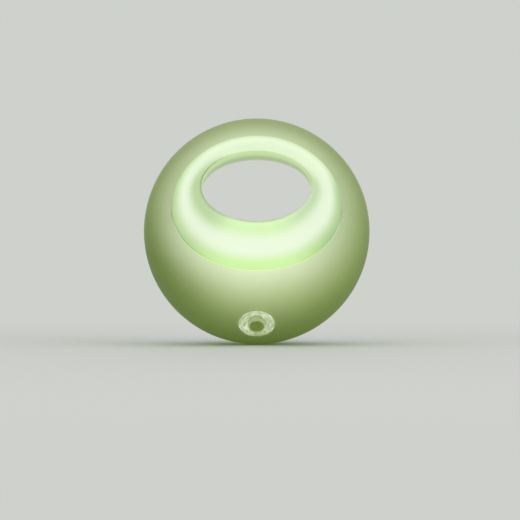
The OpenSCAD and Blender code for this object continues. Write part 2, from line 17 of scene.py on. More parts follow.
import bmesh
import bpy
import numpy as np
from bpy.types import Material, Node, NodeSocket, NodeTree, Object
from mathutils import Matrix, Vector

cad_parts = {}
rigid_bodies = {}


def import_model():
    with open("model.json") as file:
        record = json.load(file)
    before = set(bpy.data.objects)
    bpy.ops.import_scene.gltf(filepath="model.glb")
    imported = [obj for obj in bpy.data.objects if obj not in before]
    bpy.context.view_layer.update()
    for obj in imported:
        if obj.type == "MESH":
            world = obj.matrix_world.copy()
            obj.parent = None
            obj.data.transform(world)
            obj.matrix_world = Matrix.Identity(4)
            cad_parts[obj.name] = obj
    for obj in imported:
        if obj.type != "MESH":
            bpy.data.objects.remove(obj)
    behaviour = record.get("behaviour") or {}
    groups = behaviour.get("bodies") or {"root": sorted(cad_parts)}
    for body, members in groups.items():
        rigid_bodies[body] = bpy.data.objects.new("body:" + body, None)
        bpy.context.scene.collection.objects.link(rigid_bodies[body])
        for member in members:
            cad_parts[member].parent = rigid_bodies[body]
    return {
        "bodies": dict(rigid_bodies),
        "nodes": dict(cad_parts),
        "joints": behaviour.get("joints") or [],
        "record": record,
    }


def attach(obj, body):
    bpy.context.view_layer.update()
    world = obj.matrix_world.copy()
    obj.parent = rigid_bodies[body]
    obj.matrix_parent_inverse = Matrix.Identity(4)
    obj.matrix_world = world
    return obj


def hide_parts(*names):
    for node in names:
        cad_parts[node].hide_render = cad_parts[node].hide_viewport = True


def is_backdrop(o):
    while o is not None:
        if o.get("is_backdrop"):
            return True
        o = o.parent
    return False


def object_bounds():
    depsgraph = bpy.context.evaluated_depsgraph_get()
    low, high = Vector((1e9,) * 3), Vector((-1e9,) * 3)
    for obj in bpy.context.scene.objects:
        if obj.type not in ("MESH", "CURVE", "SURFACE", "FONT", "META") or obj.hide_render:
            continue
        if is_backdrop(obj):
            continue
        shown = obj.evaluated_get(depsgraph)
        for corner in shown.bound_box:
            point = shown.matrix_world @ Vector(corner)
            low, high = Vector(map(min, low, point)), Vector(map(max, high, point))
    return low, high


LOG = logging.getLogger("night_light")

MM = 0.001
BODY = "root"
IMAGE_PX = 520
QUARTER, FULL = math.pi / 2, 2 * math.pi
SHARP_ANGLE = math.radians(32)
MERGE_M, WELD_M, FLAT_M = 1e-6, 1e-7, 1e-8
ON_BALL_M, TINY_M = 2e-6, 1e-9
FINE = 2.0
ROD_STEPS = 48
OVERRUN = 0.5
CAP_SHARES = (0.0, 0.34, 0.67, 1.0)

Colour = tuple[float, float, float]
Range = tuple[float, float]
Point = np.ndarray


def linear(colour: Colour) -> Colour:
    """Turn an sRGB colour of 0 to 255 into linear light."""
    parts = (value / 255 for value in colour)
    return tuple(s / 12.92 if s <= 0.04045 else ((s + 0.055) / 1.055) ** 2.4 for s in parts)


def operator(operation: str, *fixed: float, swap: bool = False) -> Callable[..., Term]:
    """Make a method of Term that adds one math node.

    Args:
        operation: The math node's operation.
        fixed: Numbers that always follow the term.
        swap: Whether the other number comes before the term.

    Returns:
        The method.
    """

    def apply(self: Term, *others: Value) -> Term:
        """Apply the operation to the term and the others."""
        values = (self, *others, *fixed)
        return self.net.math(operation, *(reversed(values) if swap else values))

    return apply


class Term:
    """A number in a node tree that can be used in plain arithmetic."""

    __add__ = __radd__ = operator("ADD")
    __sub__, __rsub__ = operator("SUBTRACT"), operator("SUBTRACT", swap=True)
    __mul__ = __rmul__ = operator("MULTIPLY")
    __truediv__, __neg__ = operator("DIVIDE"), operator("MULTIPLY", -1.0)
    sin, cos, sqrt = operator("SINE"), operator("COSINE"), operator("SQRT")

    def __init__(self, net: Net, socket: NodeSocket) -> None:
        """Wrap one output socket of the net."""
        self.net, self.socket = net, socket

    def using(self, operation: str, *others: Value) -> Term:
        """Apply one math node to this number and others."""
        return self.net.math(operation, self, *others)

    def square(self) -> Term:
        """The number times itself."""
        return self * self

    def step(self, start: float, end: float) -> Term:
        """Smooth step over this number.

        Args:
            start: Where the step is 0; it may lie above the end.
            end: Where it is 1.

        Returns:
            The step's value.
        """
        low, high = (0.0, 1.0) if start < end else (1.0, 0.0)
        inputs = {0: self, 1: min(start, end), 2: max(start, end), 3: low, 4: high}
        return self.net.term("ShaderNodeMapRange", inputs, interpolation_type="SMOOTHSTEP")


Value = Term | float


class Net:
    """Builds a shader or a geometry node tree, one node at a time."""

    def __init__(self, tree: NodeTree) -> None:
        """Start with an empty tree."""
        self.tree = tree
        tree.nodes.clear()

    def node(self, kind: str, inputs: dict | None = None, **settings: object) -> Node:
        """Add a node.

        Args:
            kind: The node's type name.
            inputs: What goes into it, by input name or number.
            settings: The node's own properties.

        Returns:
            The node.
        """
        made = self.tree.nodes.new(kind)
        for key, value in settings.items():
            setattr(made, key, value)
        for key, value in (inputs or {}).items():
            self.feed(made.inputs[key], value)
        return made

    def feed(self, socket: NodeSocket, value: object) -> None:
        """Link or write one input.

        Args:
            socket: The input.
            value: A term, a socket, a list of sockets or a plain value.
        """
        if isinstance(value, (Term, NodeSocket, list)):
            for source in value if isinstance(value, list) else [value]:
                self.tree.links.new(source.socket if isinstance(source, Term) else source, socket)
        else:
            socket.default_value = (*value, 1.0) if socket.type == "RGBA" else value

    def out(self, kind: str, inputs: dict | None = None, output: int | str = 0,
            **settings: object) -> NodeSocket:
        """Add a node and return one of its outputs."""
        return self.node(kind, inputs, **settings).outputs[output]

    def term(self, kind: str, inputs: dict | None = None, output: int | str = 0,
             **settings: object) -> Term:
        """Add a node and return one of its outputs as a number."""
        return Term(self, self.out(kind, inputs, output, **settings))

    def math(self, operation: str, *values: Value, clamp: bool = False) -> Term:
        """Add a math node and return its result."""
        inputs = dict(enumerate(values))
        return self.term("ShaderNodeMath", inputs, operation=operation, use_clamp=clamp)

    def mix(self, factor: Value, first: object, second: object) -> NodeSocket:
        """Blend two colours, each given as a linear colour or a socket."""
        return self.out("ShaderNodeMix", {0: factor, 6: first, 7: second}, 2, data_type="RGBA")

    def blend(self, operation: str, first: object, second: object) -> NodeSocket:
        """Combine two colours or vectors; to scale one, the second is a number."""
        inputs = {0: first, "Scale" if operation == "SCALE" else 1: second}
        return self.out("ShaderNodeVectorMath", inputs, operation=operation)

    def beyond(self, whole: object, own: object) -> NodeSocket:
        """What one colour has more than another."""
        return self.blend("MAXIMUM", self.blend("SUBTRACT", whole, own), (0.0, 0.0, 0.0))

    def vector(self, x: Value, y: Value, z: Value) -> NodeSocket:
        """Join three numbers to a vector."""
        return self.out("ShaderNodeCombineXYZ", {0: x, 1: y, 2: z})

    def parts(self, vector: NodeSocket) -> list[Term]:
        """Split a vector into its three numbers."""
        made = self.node("ShaderNodeSeparateXYZ", {0: vector})
        return [Term(self, socket) for socket in made.outputs]


@dataclass(frozen=True)
class Grain:
    """Fine grain: its size and height in millimetres, and how it varies the roughness."""

    size: float
    play: float
    roughness: float
    depth: float


class Surface(Net):
    """A material's node tree around one Principled shader."""

    def __init__(self, name: str) -> None:
        """Make the material with its shader and output.

        Args:
            name: The material's name.
        """
        self.material = bpy.data.materials.new(name)
        self.material.use_nodes = True
        super().__init__(self.material.node_tree)
        self.shader = self.node("ShaderNodeBsdfPrincipled")
        self.output = self.node("ShaderNodeOutputMaterial", {"Surface": self.shader.outputs[0]})
        self.object_place = self.out("ShaderNodeTexCoord", output="Object")

    def place(self, centre: Sequence[float] = (0.0, 0.0, 0.0)) -> list[Term]:
        """Object coordinates as three numbers in millimetres, measured from a centre."""
        offset = self.blend("ADD", self.object_place, tuple(float(-c) * MM for c in centre))
        return self.parts(self.blend("SCALE", offset, 1 / MM))

    def stored(self, name: str) -> Term:
        """A number that the mesh keeps under a name."""
        return self.term("ShaderNodeAttribute", output="Fac", attribute_name=name)

    def noise(self, size: float, detail: float = 3.0) -> Term:
        """Even noise of 0 to 1 with lumps of about the given size in millimetres."""
        inputs = {"Vector": self.object_place, "Scale": 1 / (size * MM), "Detail": detail}
        return self.term("ShaderNodeTexNoise", inputs)

    def bump(self, height: Term, depth: float) -> None:
        """Raise the surface by a height of 0 to 1 times a depth in millimetres."""
        inputs = {"Height": height, "Distance": depth * MM, "Strength": 1.0}
        self.put(Normal=self.out("ShaderNodeBump", inputs))

    def lay(self, grain: Grain) -> None:
        """Lay a fine grain over the surface.

        Args:
            grain: Its sizes.
        """
        height = self.noise(grain.size, FINE)
        self.put(Roughness=(height - 0.5) * grain.play + grain.roughness)
        self.bump(height, grain.depth)

    def put(self, **values: object) -> None:
        """Write or link shader inputs; an underscore in a name stands for a space."""
        for key, value in values.items():
            self.feed(self.shader.inputs[key.replace("_", " ")], value)


@dataclass(frozen=True)
class Look:
    """A procedural material."""

    name: str

    def paint(self, surface: Surface) -> None:
        """Set up the surface's shader."""
        raise NotImplementedError

    def make(self) -> Material:
        """Build the material.

        Returns:
            The material.
        """
        surface = Surface(self.name)
        self.paint(surface)
        return surface.material


@dataclass(frozen=True)
class Finish(Look):
    """A moulded, coated or metal surface with a faint mottle and a fine grain."""

    colour: Colour
    mottle_colour: Colour
    roughness: float = 0.45
    metallic: float = 0.0
    mottle: float = 6.0
    grain: float = 0.25
    relief: float = 0.004
    coat: float = 0.0
    play: float = 0.12
    patch_edge: Range = (0.38, 0.62)

    def own_colour(self, surface: Surface) -> NodeSocket:
        """The mottled colour."""
        patches = surface.noise(self.mottle).step(*self.patch_edge)
        return surface.mix(patches, linear(self.colour), linear(self.mottle_colour))

    def paint(self, surface: Surface) -> None:
        """Set up the mottle, the grain and the coat.

        Args:
            surface: The material's tree.
        """
        colour = self.own_colour(surface)
        surface.put(Base_Color=colour, Metallic=self.metallic, Coat_Weight=self.coat)
        surface.lay(Grain(self.grain, self.play, self.roughness, self.relief))


@dataclass(frozen=True)
class BandedFinish(Finish):
    """A lacquered body with colour bands across one axis, as on a small resistor."""

    bands: tuple[Colour, ...] = ()
    axis: int = 2
    middle: float = 0.0
    pitch: float = 1.0
    width: float = 0.45

    def own_colour(self, surface: Surface) -> NodeSocket:
        """Lay the bands over the mottled colour.

        Args:
            surface: The material's tree.

        Returns:
            The colour.
        """
        colour = super().own_colour(surface)
        along = surface.place()[self.axis] - self.middle
        for number, band in enumerate(self.bands):
            offset = (number - (len(self.bands) - 1) / 2) * self.pitch
            distance = (along - offset).using("ABSOLUTE")
            colour = surface.mix(
                1.0 - distance.step(self.width / 3, self.width / 2), colour, linear(band)
            )
        return colour


def vec(x: float, y: float, z: float) -> Point:
    """Point or direction from its three numbers."""
    return np.array([x, y, z])


def about(angle: float, radius: float = 1.0, depth: float = 0.0) -> Point:
    """Point at an angle and a radius about the line along the depth."""
    return vec(radius * math.cos(angle), depth, radius * math.sin(angle))


def leg(radius: float, depth: float) -> float:
    """Radius of a sphere's section at a depth from its centre."""
    return math.sqrt(radius**2 - depth**2)


def shares(steps: int) -> list[float]:
    """Equal shares from 0 to 1."""
    return [i / steps for i in range(steps + 1)]


def circle(count: int) -> list[float]:
    """Equal steps of angle round a full circle."""
    return [FULL * i / count for i in range(count)]


def bend(a: Point, b: Point, turn: float, flares: bool = False) -> Point:
    """Quarter turn from a to b: from inwards to back or, where it flares, from back to outwards."""
    early, late = math.sin(turn), 1 - math.cos(turn)
    return a + (b - a) * (vec(late, early, late) if flares else vec(early, late, early))


def arc_between(a: Point, b: Point, steps: int) -> list[Point]:
    """Points on the great circle between two points that lie equally far from the origin.

    Args:
        a: The first point.
        b: The last point.
        steps: How many steps lie between them.

    Returns:
        The points, with both ends.
    """
    radius = float(np.linalg.norm(a))
    angle = math.acos(float(np.clip(np.dot(a, b) / radius**2, -1, 1)))
    return [
        (math.sin((1 - s) * angle) * a + math.sin(s * angle) * b) / math.sin(angle)
        for s in shares(steps)
    ]


def towards(a: Point, b: Point, length: float) -> Point:
    """Point at a length from a on the way to b."""
    return a + (b - a) / np.linalg.norm(b - a) * length


def rounded(a: Point, corner: Point, b: Point, steps: int = 4) -> list[Point]:
    """Points of a small rounding from a over a corner to b."""
    return [(1 - s) ** 2 * a + 2 * s * (1 - s) * corner + s * s * b for s in shares(steps)]


def soften(before: Point, corner: Point, after: Point, size: float, steps: int = 4) -> list[Point]:
    """Rounding of a corner that starts and ends at a distance from it."""
    return rounded(towards(corner, before, size), corner, towards(corner, after, size), steps)


def mesh_object(name: str, points: Iterable[Point], faces: Iterable[Sequence[int]]) -> Object:
    """Make an object at the origin from points in millimetres in the row frame.

    Args:
        name: The object's name.
        points: The vertices.
        faces: Vertex numbers of each face.

    Returns:
        The object.
    """
    mesh = bpy.data.meshes.new(name)
    mesh.from_pydata([tuple(float(c) * MM for c in p) for p in points], [], list(faces))
    mesh.validate()
    piece = bpy.data.objects.new(name, mesh)
    bpy.context.scene.collection.objects.link(piece)
    return piece


def wrap(count: int, length: int, closed: bool) -> list[Sequence[int]]:
    """Faces between neighbouring rows of points round a piece.

    Args:
        count: Number of rows.
        length: Points in each row.
        closed: Whether each row closes on itself.

    Returns:
        Vertex numbers of each face.
    """
    faces = []
    for i in range(count):
        after = (i + 1) % count
        for j in range(length if closed else length - 1):
            k = (j + 1) % length
            faces.append((i * length + j, i * length + k, after * length + k, after * length + j))
    return faces


def loft(name: str, rows: Sequence[Sequence[Point]], shift: Sequence[float] = (0.0, 0.0, 0.0),
         capped: bool = False) -> Object:
    """Skin over rows of points that stand side by side round a piece.

    Args:
        name: The object's name.
        rows: One row for each angle; all have the same length.
        shift: What is added to each point.
        capped: Whether the rows run from one end outline of a bar to the other, and both are
            filled; otherwise each row closes on itself.

    Returns:
        The closed object, with its faces pointing outwards.
    """
    count, length = len(rows), len(rows[0])
    faces = wrap(count, length, not capped)
    if capped:
        faces += [[i * length + end for i in range(count)] for end in (0, length - 1)]
    piece = mesh_object(name, [p + np.asarray(shift) for row in rows for p in row], faces)
    tidy_mesh(piece)
    return piece


def lathe(name: str, profile: Sequence[Range], centre: Sequence[float], segments: int) -> Object:
    """Solid turned from a closed outline of (radius, depth) points about a line at a centre."""
    return loft(name, [[about(a, r, y) for r, y in profile] for a in circle(segments)], centre)


def rods(radius: float, places: Iterable[Point], start: float, end: float) -> list[Object]:
    """Round bars along the depth, as tools: one at each place, from a start to an end."""
    profile = [(0.0, start), (radius, start), (radius, end), (0.0, end)]
    return [lathe("rod", profile, place, ROD_STEPS) for place in places]


def tidy_mesh(piece: Object) -> None:
    """Merge doubled points, drop flat faces and point the rest outwards.

    Args:
        piece: The piece that is tidied.
    """
    work = bmesh.new()
    work.from_mesh(piece.data)
    bmesh.ops.remove_doubles(work, verts=work.verts, dist=WELD_M)
    bmesh.ops.dissolve_degenerate(work, edges=work.edges, dist=FLAT_M)
    bmesh.ops.recalc_face_normals(work, faces=work.faces)
    work.to_mesh(piece.data)
    work.free()


def shade(piece: Object) -> None:
    """Shade a piece smoothly, apart from its sharp edges."""
    piece.data.polygons.foreach_set("use_smooth", [True] * len(piece.data.polygons))
    piece.data.set_sharp_from_angle(angle=SHARP_ANGLE)


def settle(piece: Object) -> None:
    """Turn a piece's modifiers into its plain mesh.

    Args:
        piece: The piece that is settled.
    """
    graph = bpy.context.evaluated_depsgraph_get()
    mesh = bpy.data.meshes.new_from_object(piece.evaluated_get(graph))
    piece.modifiers.clear()
    piece.data = mesh


def carve(piece: Object, tools: Sequence[Object], operation: str) -> None:
    """Join tools to a piece, or cut them out of it.

    Args:
        piece: The piece that is changed.
        tools: Closed meshes, which are removed afterwards.
        operation: UNION or DIFFERENCE.
    """
    for tool in tools:
        modifier = piece.modifiers.new("carve", "BOOLEAN")
        modifier.operation = operation
        modifier.solver = "EXACT"
        modifier.object = tool
    settle(piece)
    for tool in tools:
        bpy.data.objects.remove(tool)


def mark(piece: Object, name: str, values: Iterable[float]) -> None:
    """Store one number for each point of a mesh."""
    layer = piece.data.attributes.new(name, "FLOAT", "POINT")
    layer.data.foreach_set("value", [float(value) for value in values])


def clothe(piece: Object, material: Material) -> None:
    """Give a whole piece one material."""
    piece.data.materials.clear()
    piece.data.materials.append(material)


def enlist(piece: Object, node: str, material: Material | None = None) -> None:
    """Tell the frame about a finished piece.

    Args:
        piece: The finished mesh.
        node: The CAD node that it replaces.
        material: What the whole piece is dressed in, unless it is dressed already.
    """
    if material:
        clothe(piece, material)
    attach(piece, BODY)
    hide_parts(node)
    LOG.info("%s: %d faces", piece.name, len(piece.data.polygons))


class GeometryTree(Net):
    """A Geometry Nodes tree with named sizes that ends in realised, dressed geometry."""

    def __init__(self, name: str, sizes: dict[str, float | int]) -> None:
        """Make the tree and its inputs.

        Args:
            name: Name of the piece.
            sizes: The value of each named input; whole numbers make integer inputs.
        """
        super().__init__(bpy.data.node_groups.new(name, "GeometryNodeTree"))
        self.name, self.values = name, sizes
        kinds = {key: "Int" if isinstance(size, int) else "Float" for key, size in sizes.items()}
        self.socket("Geometry", "OUTPUT", "Geometry")
        for key, kind in {**kinds, "Finish": "Material"}.items():
            self.socket(key, "INPUT", kind)
        self.inputs = self.node("NodeGroupInput")

    def socket(self, name: str, way: str, kind: str) -> None:
        """Add an input or output to the tree's interface."""
        self.tree.interface.new_socket(name, in_out=way, socket_type="NodeSocket" + kind)

    def size(self, key: str) -> Term:
        """One named size of the tree."""
        return Term(self, self.inputs.outputs[key])

    def add(self, kind: str, **inputs: object) -> NodeSocket:
        """Add a geometry node; an underscore in an input's name stands for a space."""
        named = {key.replace("_", " "): value for key, value in inputs.items()}
        return self.out("GeometryNode" + kind, named)

    def place(self) -> list[Term]:
        """Where the point lies."""
        return self.parts(self.add("InputPosition"))

    def index(self) -> Term:
        """Number of the point."""
        return self.term("GeometryNodeInputIndex")

    def joined(self, *parts: NodeSocket) -> NodeSocket:
        """Put several geometries together."""
        return self.add("JoinGeometry", Geometry=list(reversed(parts)))

    def raised(self, geometry: NodeSocket, height: Value) -> NodeSocket:
        """Move a geometry up."""
        return self.add("Transform", Geometry=geometry, Translation=self.vector(0.0, 0.0, height))

    def cut(self, mesh: NodeSocket, *tools: NodeSocket) -> NodeSocket:
        """Cut tools out of a mesh."""
        inputs = {"Mesh 1": mesh, "Mesh 2": list(tools)}
        return self.out("GeometryNodeMeshBoolean", inputs, operation="DIFFERENCE", solver="EXACT")

    def grow(self, geometry: NodeSocket, finish: Material) -> Object:
        """End the tree and run it.

        Args:
            geometry: What the tree has built.
            finish: The material that it is dressed in.

        Returns:
            An object with the result as a plain mesh and no modifier.
        """
        real = self.add("RealizeInstances", Geometry=geometry)
        dressed = self.add("SetMaterial", Geometry=real, Material=self.inputs.outputs["Finish"])
        self.node("NodeGroupOutput", {0: dressed})
        piece = mesh_object(self.name, [], [])
        modifier = piece.modifiers.new("build", "NODES")
        modifier.node_group = self.tree
        values = {**self.values, "Finish": finish}
        for item in self.tree.interface.items_tree:
            if item.in_out == "INPUT":
                modifier[item.identifier] = values[item.name]
        settle(piece)
        clothe(piece, finish)
        bpy.data.node_groups.remove(self.tree)
        return piece


@dataclass(frozen=True)
class Oval:
    """Upright oval round the hole."""

    width: float
    height: float
    rise: float

    def point(self, angle: float, depth: float, grow: float = 0.0) -> Point:
        """Point of the oval, widened, at a depth; the angle runs from +X towards its top."""
        x, z = self.width / 2 + grow, self.height / 2 + grow
        return vec(x * math.cos(angle), depth, self.rise + z * math.sin(angle))


@dataclass(frozen=True)
class Ball:
    """Sizes of the ball, its mouth and its hole, with the curves that the pieces share."""

    centre: tuple[float, float, float] = (0.0, -36.0, 19.0)
    radius: float = 38.0
    wall: float = 1.8
    back: float = 19.0
    back_wall: float = 2.2
    split: float = 5.0
    gap: float = 0.15
    slip: float = 0.05
    mouth_w: float = 56.0
    mouth_h: float = 46.4
    tilt: float = math.radians(18)
    skirt: float = 2.5
    skirt_wall: float = 1.2
    throat: Oval = Oval(37.0, 23.6, 15.1)
    throat_at: float = -8.4
    ring_wall: float = 1.6
    rim_wall: float = 2.2
    land: float = 3.0
    outlet: Oval = Oval(41.0, 24.0, 14.0)
    collar_wall: float = 1.4

    @property
    def middle(self) -> Point:
        """The ball's centre as a point."""
        return np.array(self.centre)

    @property
    def inner(self) -> float:
        """Radius of the inside of the shells."""
        return self.radius - self.wall

    @property
    def back_in(self) -> float:
        """Depth of the inside of the flat back."""
        return self.back - self.back_wall

    def mouth_point(self, angle: float, grow: float, radius: float, sink: float = 0.0) -> Point:
        """Point of the mouth's outline on a sphere.

        Args:
            angle: Angle round the mouth, from +X towards its top.
            grow: How far the outline is widened.
            radius: The sphere's radius.
            sink: How far the point then lies down along the mouth's axis.

        Returns:
            The point, from the ball's centre.
        """
        x = (self.mouth_w / 2 + grow) * math.cos(angle)
        u = (self.mouth_h / 2 + grow) * math.sin(angle)
        h = math.sqrt(radius**2 - x * x - u * u) - sink
        sine, cosine = math.sin(self.tilt), math.cos(self.tilt)
        return vec(x, u * sine - h * cosine, u * cosine + h * sine)

    def on_surface(self, place: Point) -> Point:
        """The nearest point of the ball's surface."""
        return place * (self.radius / np.linalg.norm(place))


@dataclass(frozen=True)
class GlowingShell(Look):
    """Translucent green plastic with a painted glow, as if lit from within around the mouth and
    darker away from it.

    Each range is a smooth step over the angle away from the mouth's edge, in radians, or over how
    far a place lies to the right, down or up, from -1 to 1.
    """

    ball: Ball
    base: Colour = (104, 131, 46)
    deep: Colour = (101, 128, 44)
    near_hue: Colour = (0.93, 1.0, 0.76)
    far_hue: Colour = (0.88, 1.0, 0.50)
    deep_hue: Colour = (0.64, 1.0, 0.15)
    near: Range = (0.55, 0.0)
    low_level: float = 0.71
    low_power: float = 1.5
    side_level: float = 0.37
    high_level: float = 0.46
    high: Range = (0.3, 1.0)
    reach: float = 0.40
    high_reach: float = 0.31
    reach_change: Range = (0.2, 0.9)
    fall_power: float = 1.3
    # Painted shade: these dim the painted glow on the lower left side of the ball.
    left_shade_loss: float = 0.6
    left_right: Range = (-0.2, -1.0)
    left_away: Range = (0.0, 0.5)
    left_down: Range = (-0.6, 0.5)
    # Painted light: a faint deep-green glow low on the ball, far from the mouth.
    deep_level: float = 0.07
    deep_start: Range = (0.5, 1.1)
    deep_end: Range = (2.0, 1.3)
    cloud: float = 14.0
    cloud_play: float = 0.06
    patch: float = 5.0
    patch_edge: Range = (0.35, 0.65)
    roughness: float = 0.42
    grain: float = 0.3
    play: float = 0.08
    relief_grain: float = 0.35
    relief: float = 0.0025
    shine: float = 0.06
    scatter: float = 0.15
    scatter_reach: Colour = (0.002, 0.003, 0.001)
    scatter_scale: float = 0.5

    def bearings(self, surface: Surface) -> tuple[Term, Term, Term]:
        """Where a place lies, seen along the mouth's axis.

        Args:
            surface: The material's tree.

        Returns:
            How far it lies to the right and down, from -1 to 1, and its angle away from the
            mouth's edge.
        """
        ball = self.ball
        x, y, z = surface.place(ball.centre)
        sine, cosine = math.sin(ball.tilt), math.cos(ball.tilt)
        u = y * sine + z * cosine
        h = z * sine - y * cosine
        across = (x.square() + u.square()).sqrt().using("MAXIMUM", 1.0)
        rho = ((x / (ball.mouth_w / 2)).square() + (u / (ball.mouth_h / 2)).square()).sqrt()
        radius = (across.square() + h.square()).sqrt()
        rim_angle = (across / rho / ball.radius).using("ARCSINE")
        away = (h / radius).using("ARCCOSINE") - rim_angle
        return x / across, -(u / across), away.using("MAXIMUM", 0.0)

    def paint(self, surface: Surface) -> None:
        """Set up the painted glow, which falls away from the mouth's edge and is dimmed on the
        lower left as painted shade, and the plastic.

        Args:
            surface: The material's tree.
        """
        right, down, away = self.bearings(surface)
        up = -down
        reach = up.step(*self.reach_change) * (self.high_reach - self.reach) + self.reach
        fall = (-((away / reach).using("POWER", self.fall_power))).using("EXPONENT")
        below = down.using("MAXIMUM", 0.0).using("POWER", self.low_power)
        level = below * (self.low_level - self.side_level) + self.side_level
        level = level + up.step(*self.high) * (self.high_level - self.side_level)
        # Painted shade on the lower left: the glow is dimmed there.
        left = right.step(*self.left_right) * away.step(*self.left_away)
        level = level * fall * (1.0 - left * down.step(*self.left_down) * self.left_shade_loss)
        clouds = surface.noise(self.cloud, FINE) * self.cloud_play + (1.0 - self.cloud_play / 2)
        hue = surface.mix(away.step(*self.near), self.far_hue, self.near_hue)
        # Painted light: the faint deep-green glow low on the ball.
        far = below * away.step(*self.deep_start) * away.step(*self.deep_end) * self.deep_level
        glow = surface.blend("ADD", surface.blend("SCALE", hue, level * clouds),
                             surface.blend("SCALE", self.deep_hue, far))
        patches = surface.noise(self.patch).step(*self.patch_edge)
        surface.put(
            Base_Color=surface.mix(patches, linear(self.base), linear(self.deep)),
            Roughness=(surface.noise(self.grain, FINE) - 0.5) * self.play + self.roughness,
            Emission_Color=glow, Emission_Strength=1.0, Specular_IOR_Level=self.shine,
            Subsurface_Weight=self.scatter, Subsurface_Radius=self.scatter_reach,
            Subsurface_Scale=self.scatter_scale,
        )
        surface.bump(surface.noise(self.relief_grain, FINE), self.relief)


@dataclass(frozen=True)
class Sides:
    """A value below the hole, at its right, above it and at its left."""

    low: float
    side: float
    high: float
    left: float

    def at(self, low: Term, high: Term, left: Term) -> Term:
        """The value for a place that lies partly below, above or to the left."""
        extra = low * (self.low - self.side) + high * (self.high - self.side)
        return extra + left * (self.left - self.side) + self.side


@dataclass(frozen=True)
class Band:
    """A band of the ring's face, where it is dimmer and greener than its brightest part."""

    start: Sides
    end: Sides
    dimmer: Sides
    greener: Sides


@dataclass(frozen=True)
class GlowingRing(Look):
    """Frosted plastic in front of the lamps: brightest in the middle of its turn, green at its lip.

    The bands lie along the face, from 0 at the rim to 1 at the narrow end.
    """

    ball: Ball
    base: Colour = (172, 186, 160)
    lit: Colour = (237, 251, 223)
    leaf: Colour = (208, 251, 160)
    peak: Sides = Sides(1.0, 0.94, 0.965, 0.92)
    bands: tuple[Band, ...] = (
        Band(Sides(0.035, 0.035, 0.035, 0.035), Sides(0.012, 0.012, 0.012, 0.012),
             Sides(0.0, 0.045, 0.06, 0.10), Sides(0.0, 0.09, 0.12, 0.12)),
        Band(Sides(0.24, 0.28, 0.20, 0.28), Sides(0.05, 0.0, 0.0, -0.03),
             Sides(0.03, 0.36, 0.16, 0.30), Sides(0.87, 0.88, 0.34, 0.88)),
        Band(Sides(0.34, 0.38, 0.45, 0.31), Sides(0.62, 0.70, 0.80, 0.58),
             Sides(0.02, 0.19, 0.0, 0.245), Sides(0.53, 0.30, 0.06, 0.42)),
        Band(Sides(0.74, 0.84, 0.82, 0.70), Sides(1.0, 1.0, 1.0, 1.0),
             Sides(0.30, 0.18, 0.06, 0.30), Sides(-0.1, 0.05, 0.12, 0.05)),
    )
    middle_start: float = 8.0
    middle_climb: float = 7.5
    low: Range = (-0.35, -0.95)
    high: Range = (0.05, 0.55)
    left: Range = (-0.55, -0.96)
    left_lowers: float = 0.46
    studio: Sides = Sides(0.86, 0.80, 0.71, 0.80)
    studio_end: Sides = Sides(0.65, 0.15, 0.1, 0.15)
    paler: Colour = (176, 190, 164)
    patch: float = 4.0
    waver: float = 9.0
    waver_play: float = 0.02
    shine: float = 0.3
    grain: Grain = Grain(0.3, 0.06, 0.45, 0.002)

    def sides(self, surface: Surface, inward: Term) -> tuple[Term, Term, Term]:
        """How far a place of the face lies below, above and to the left of the hole.

        Args:
            surface: The material's tree.
            inward: How far it lies along the face.

        Returns:
            The three shares.
        """
        x, _, z = surface.place(self.ball.centre)
        z = z - inward * self.middle_climb - self.middle_start
        reach = (x.square() + z.square()).sqrt().using("MAXIMUM", 1.0)
        rise, left = z / reach, (x / reach).step(*self.left)
        high = rise.step(*self.high) * (1.0 - left * self.left_lowers)
        return rise.step(*self.low), high, left

    def paint(self, surface: Surface) -> None:
        """Set up the light of the bands, less what the studio adds, and the plastic.

        Args:
            surface: The material's tree.
        """
        inward = surface.stored("inward")
        place = self.sides(surface, inward)
        level, green, at_end = self.peak.at(*place), 0.0, 0.0
        for band in self.bands:
            start, end = band.start.at(*place), band.end.at(*place)
            at_end = ((inward - start) / (end - start)).step(0.0, 1.0)
            level = level - at_end * band.dimmer.at(*place)
            green = green + at_end * band.greener.at(*place)
        hue = surface.mix(green, linear(self.lit), linear(self.leaf))
        studio = self.studio.at(*place) + at_end * self.studio_end.at(*place)
        own = surface.blend("SCALE", linear(self.base), studio)
        patches = surface.noise(self.patch)
        surface.put(
            Base_Color=surface.mix(patches, linear(self.base), linear(self.paler)),
            Emission_Color=surface.beyond(surface.blend("SCALE", hue, level), own),
            Emission_Strength=(surface.noise(self.waver, FINE) - 0.5) * self.waver_play + 1.0,
            Specular_IOR_Level=self.shine,
        )
        surface.lay(self.grain)


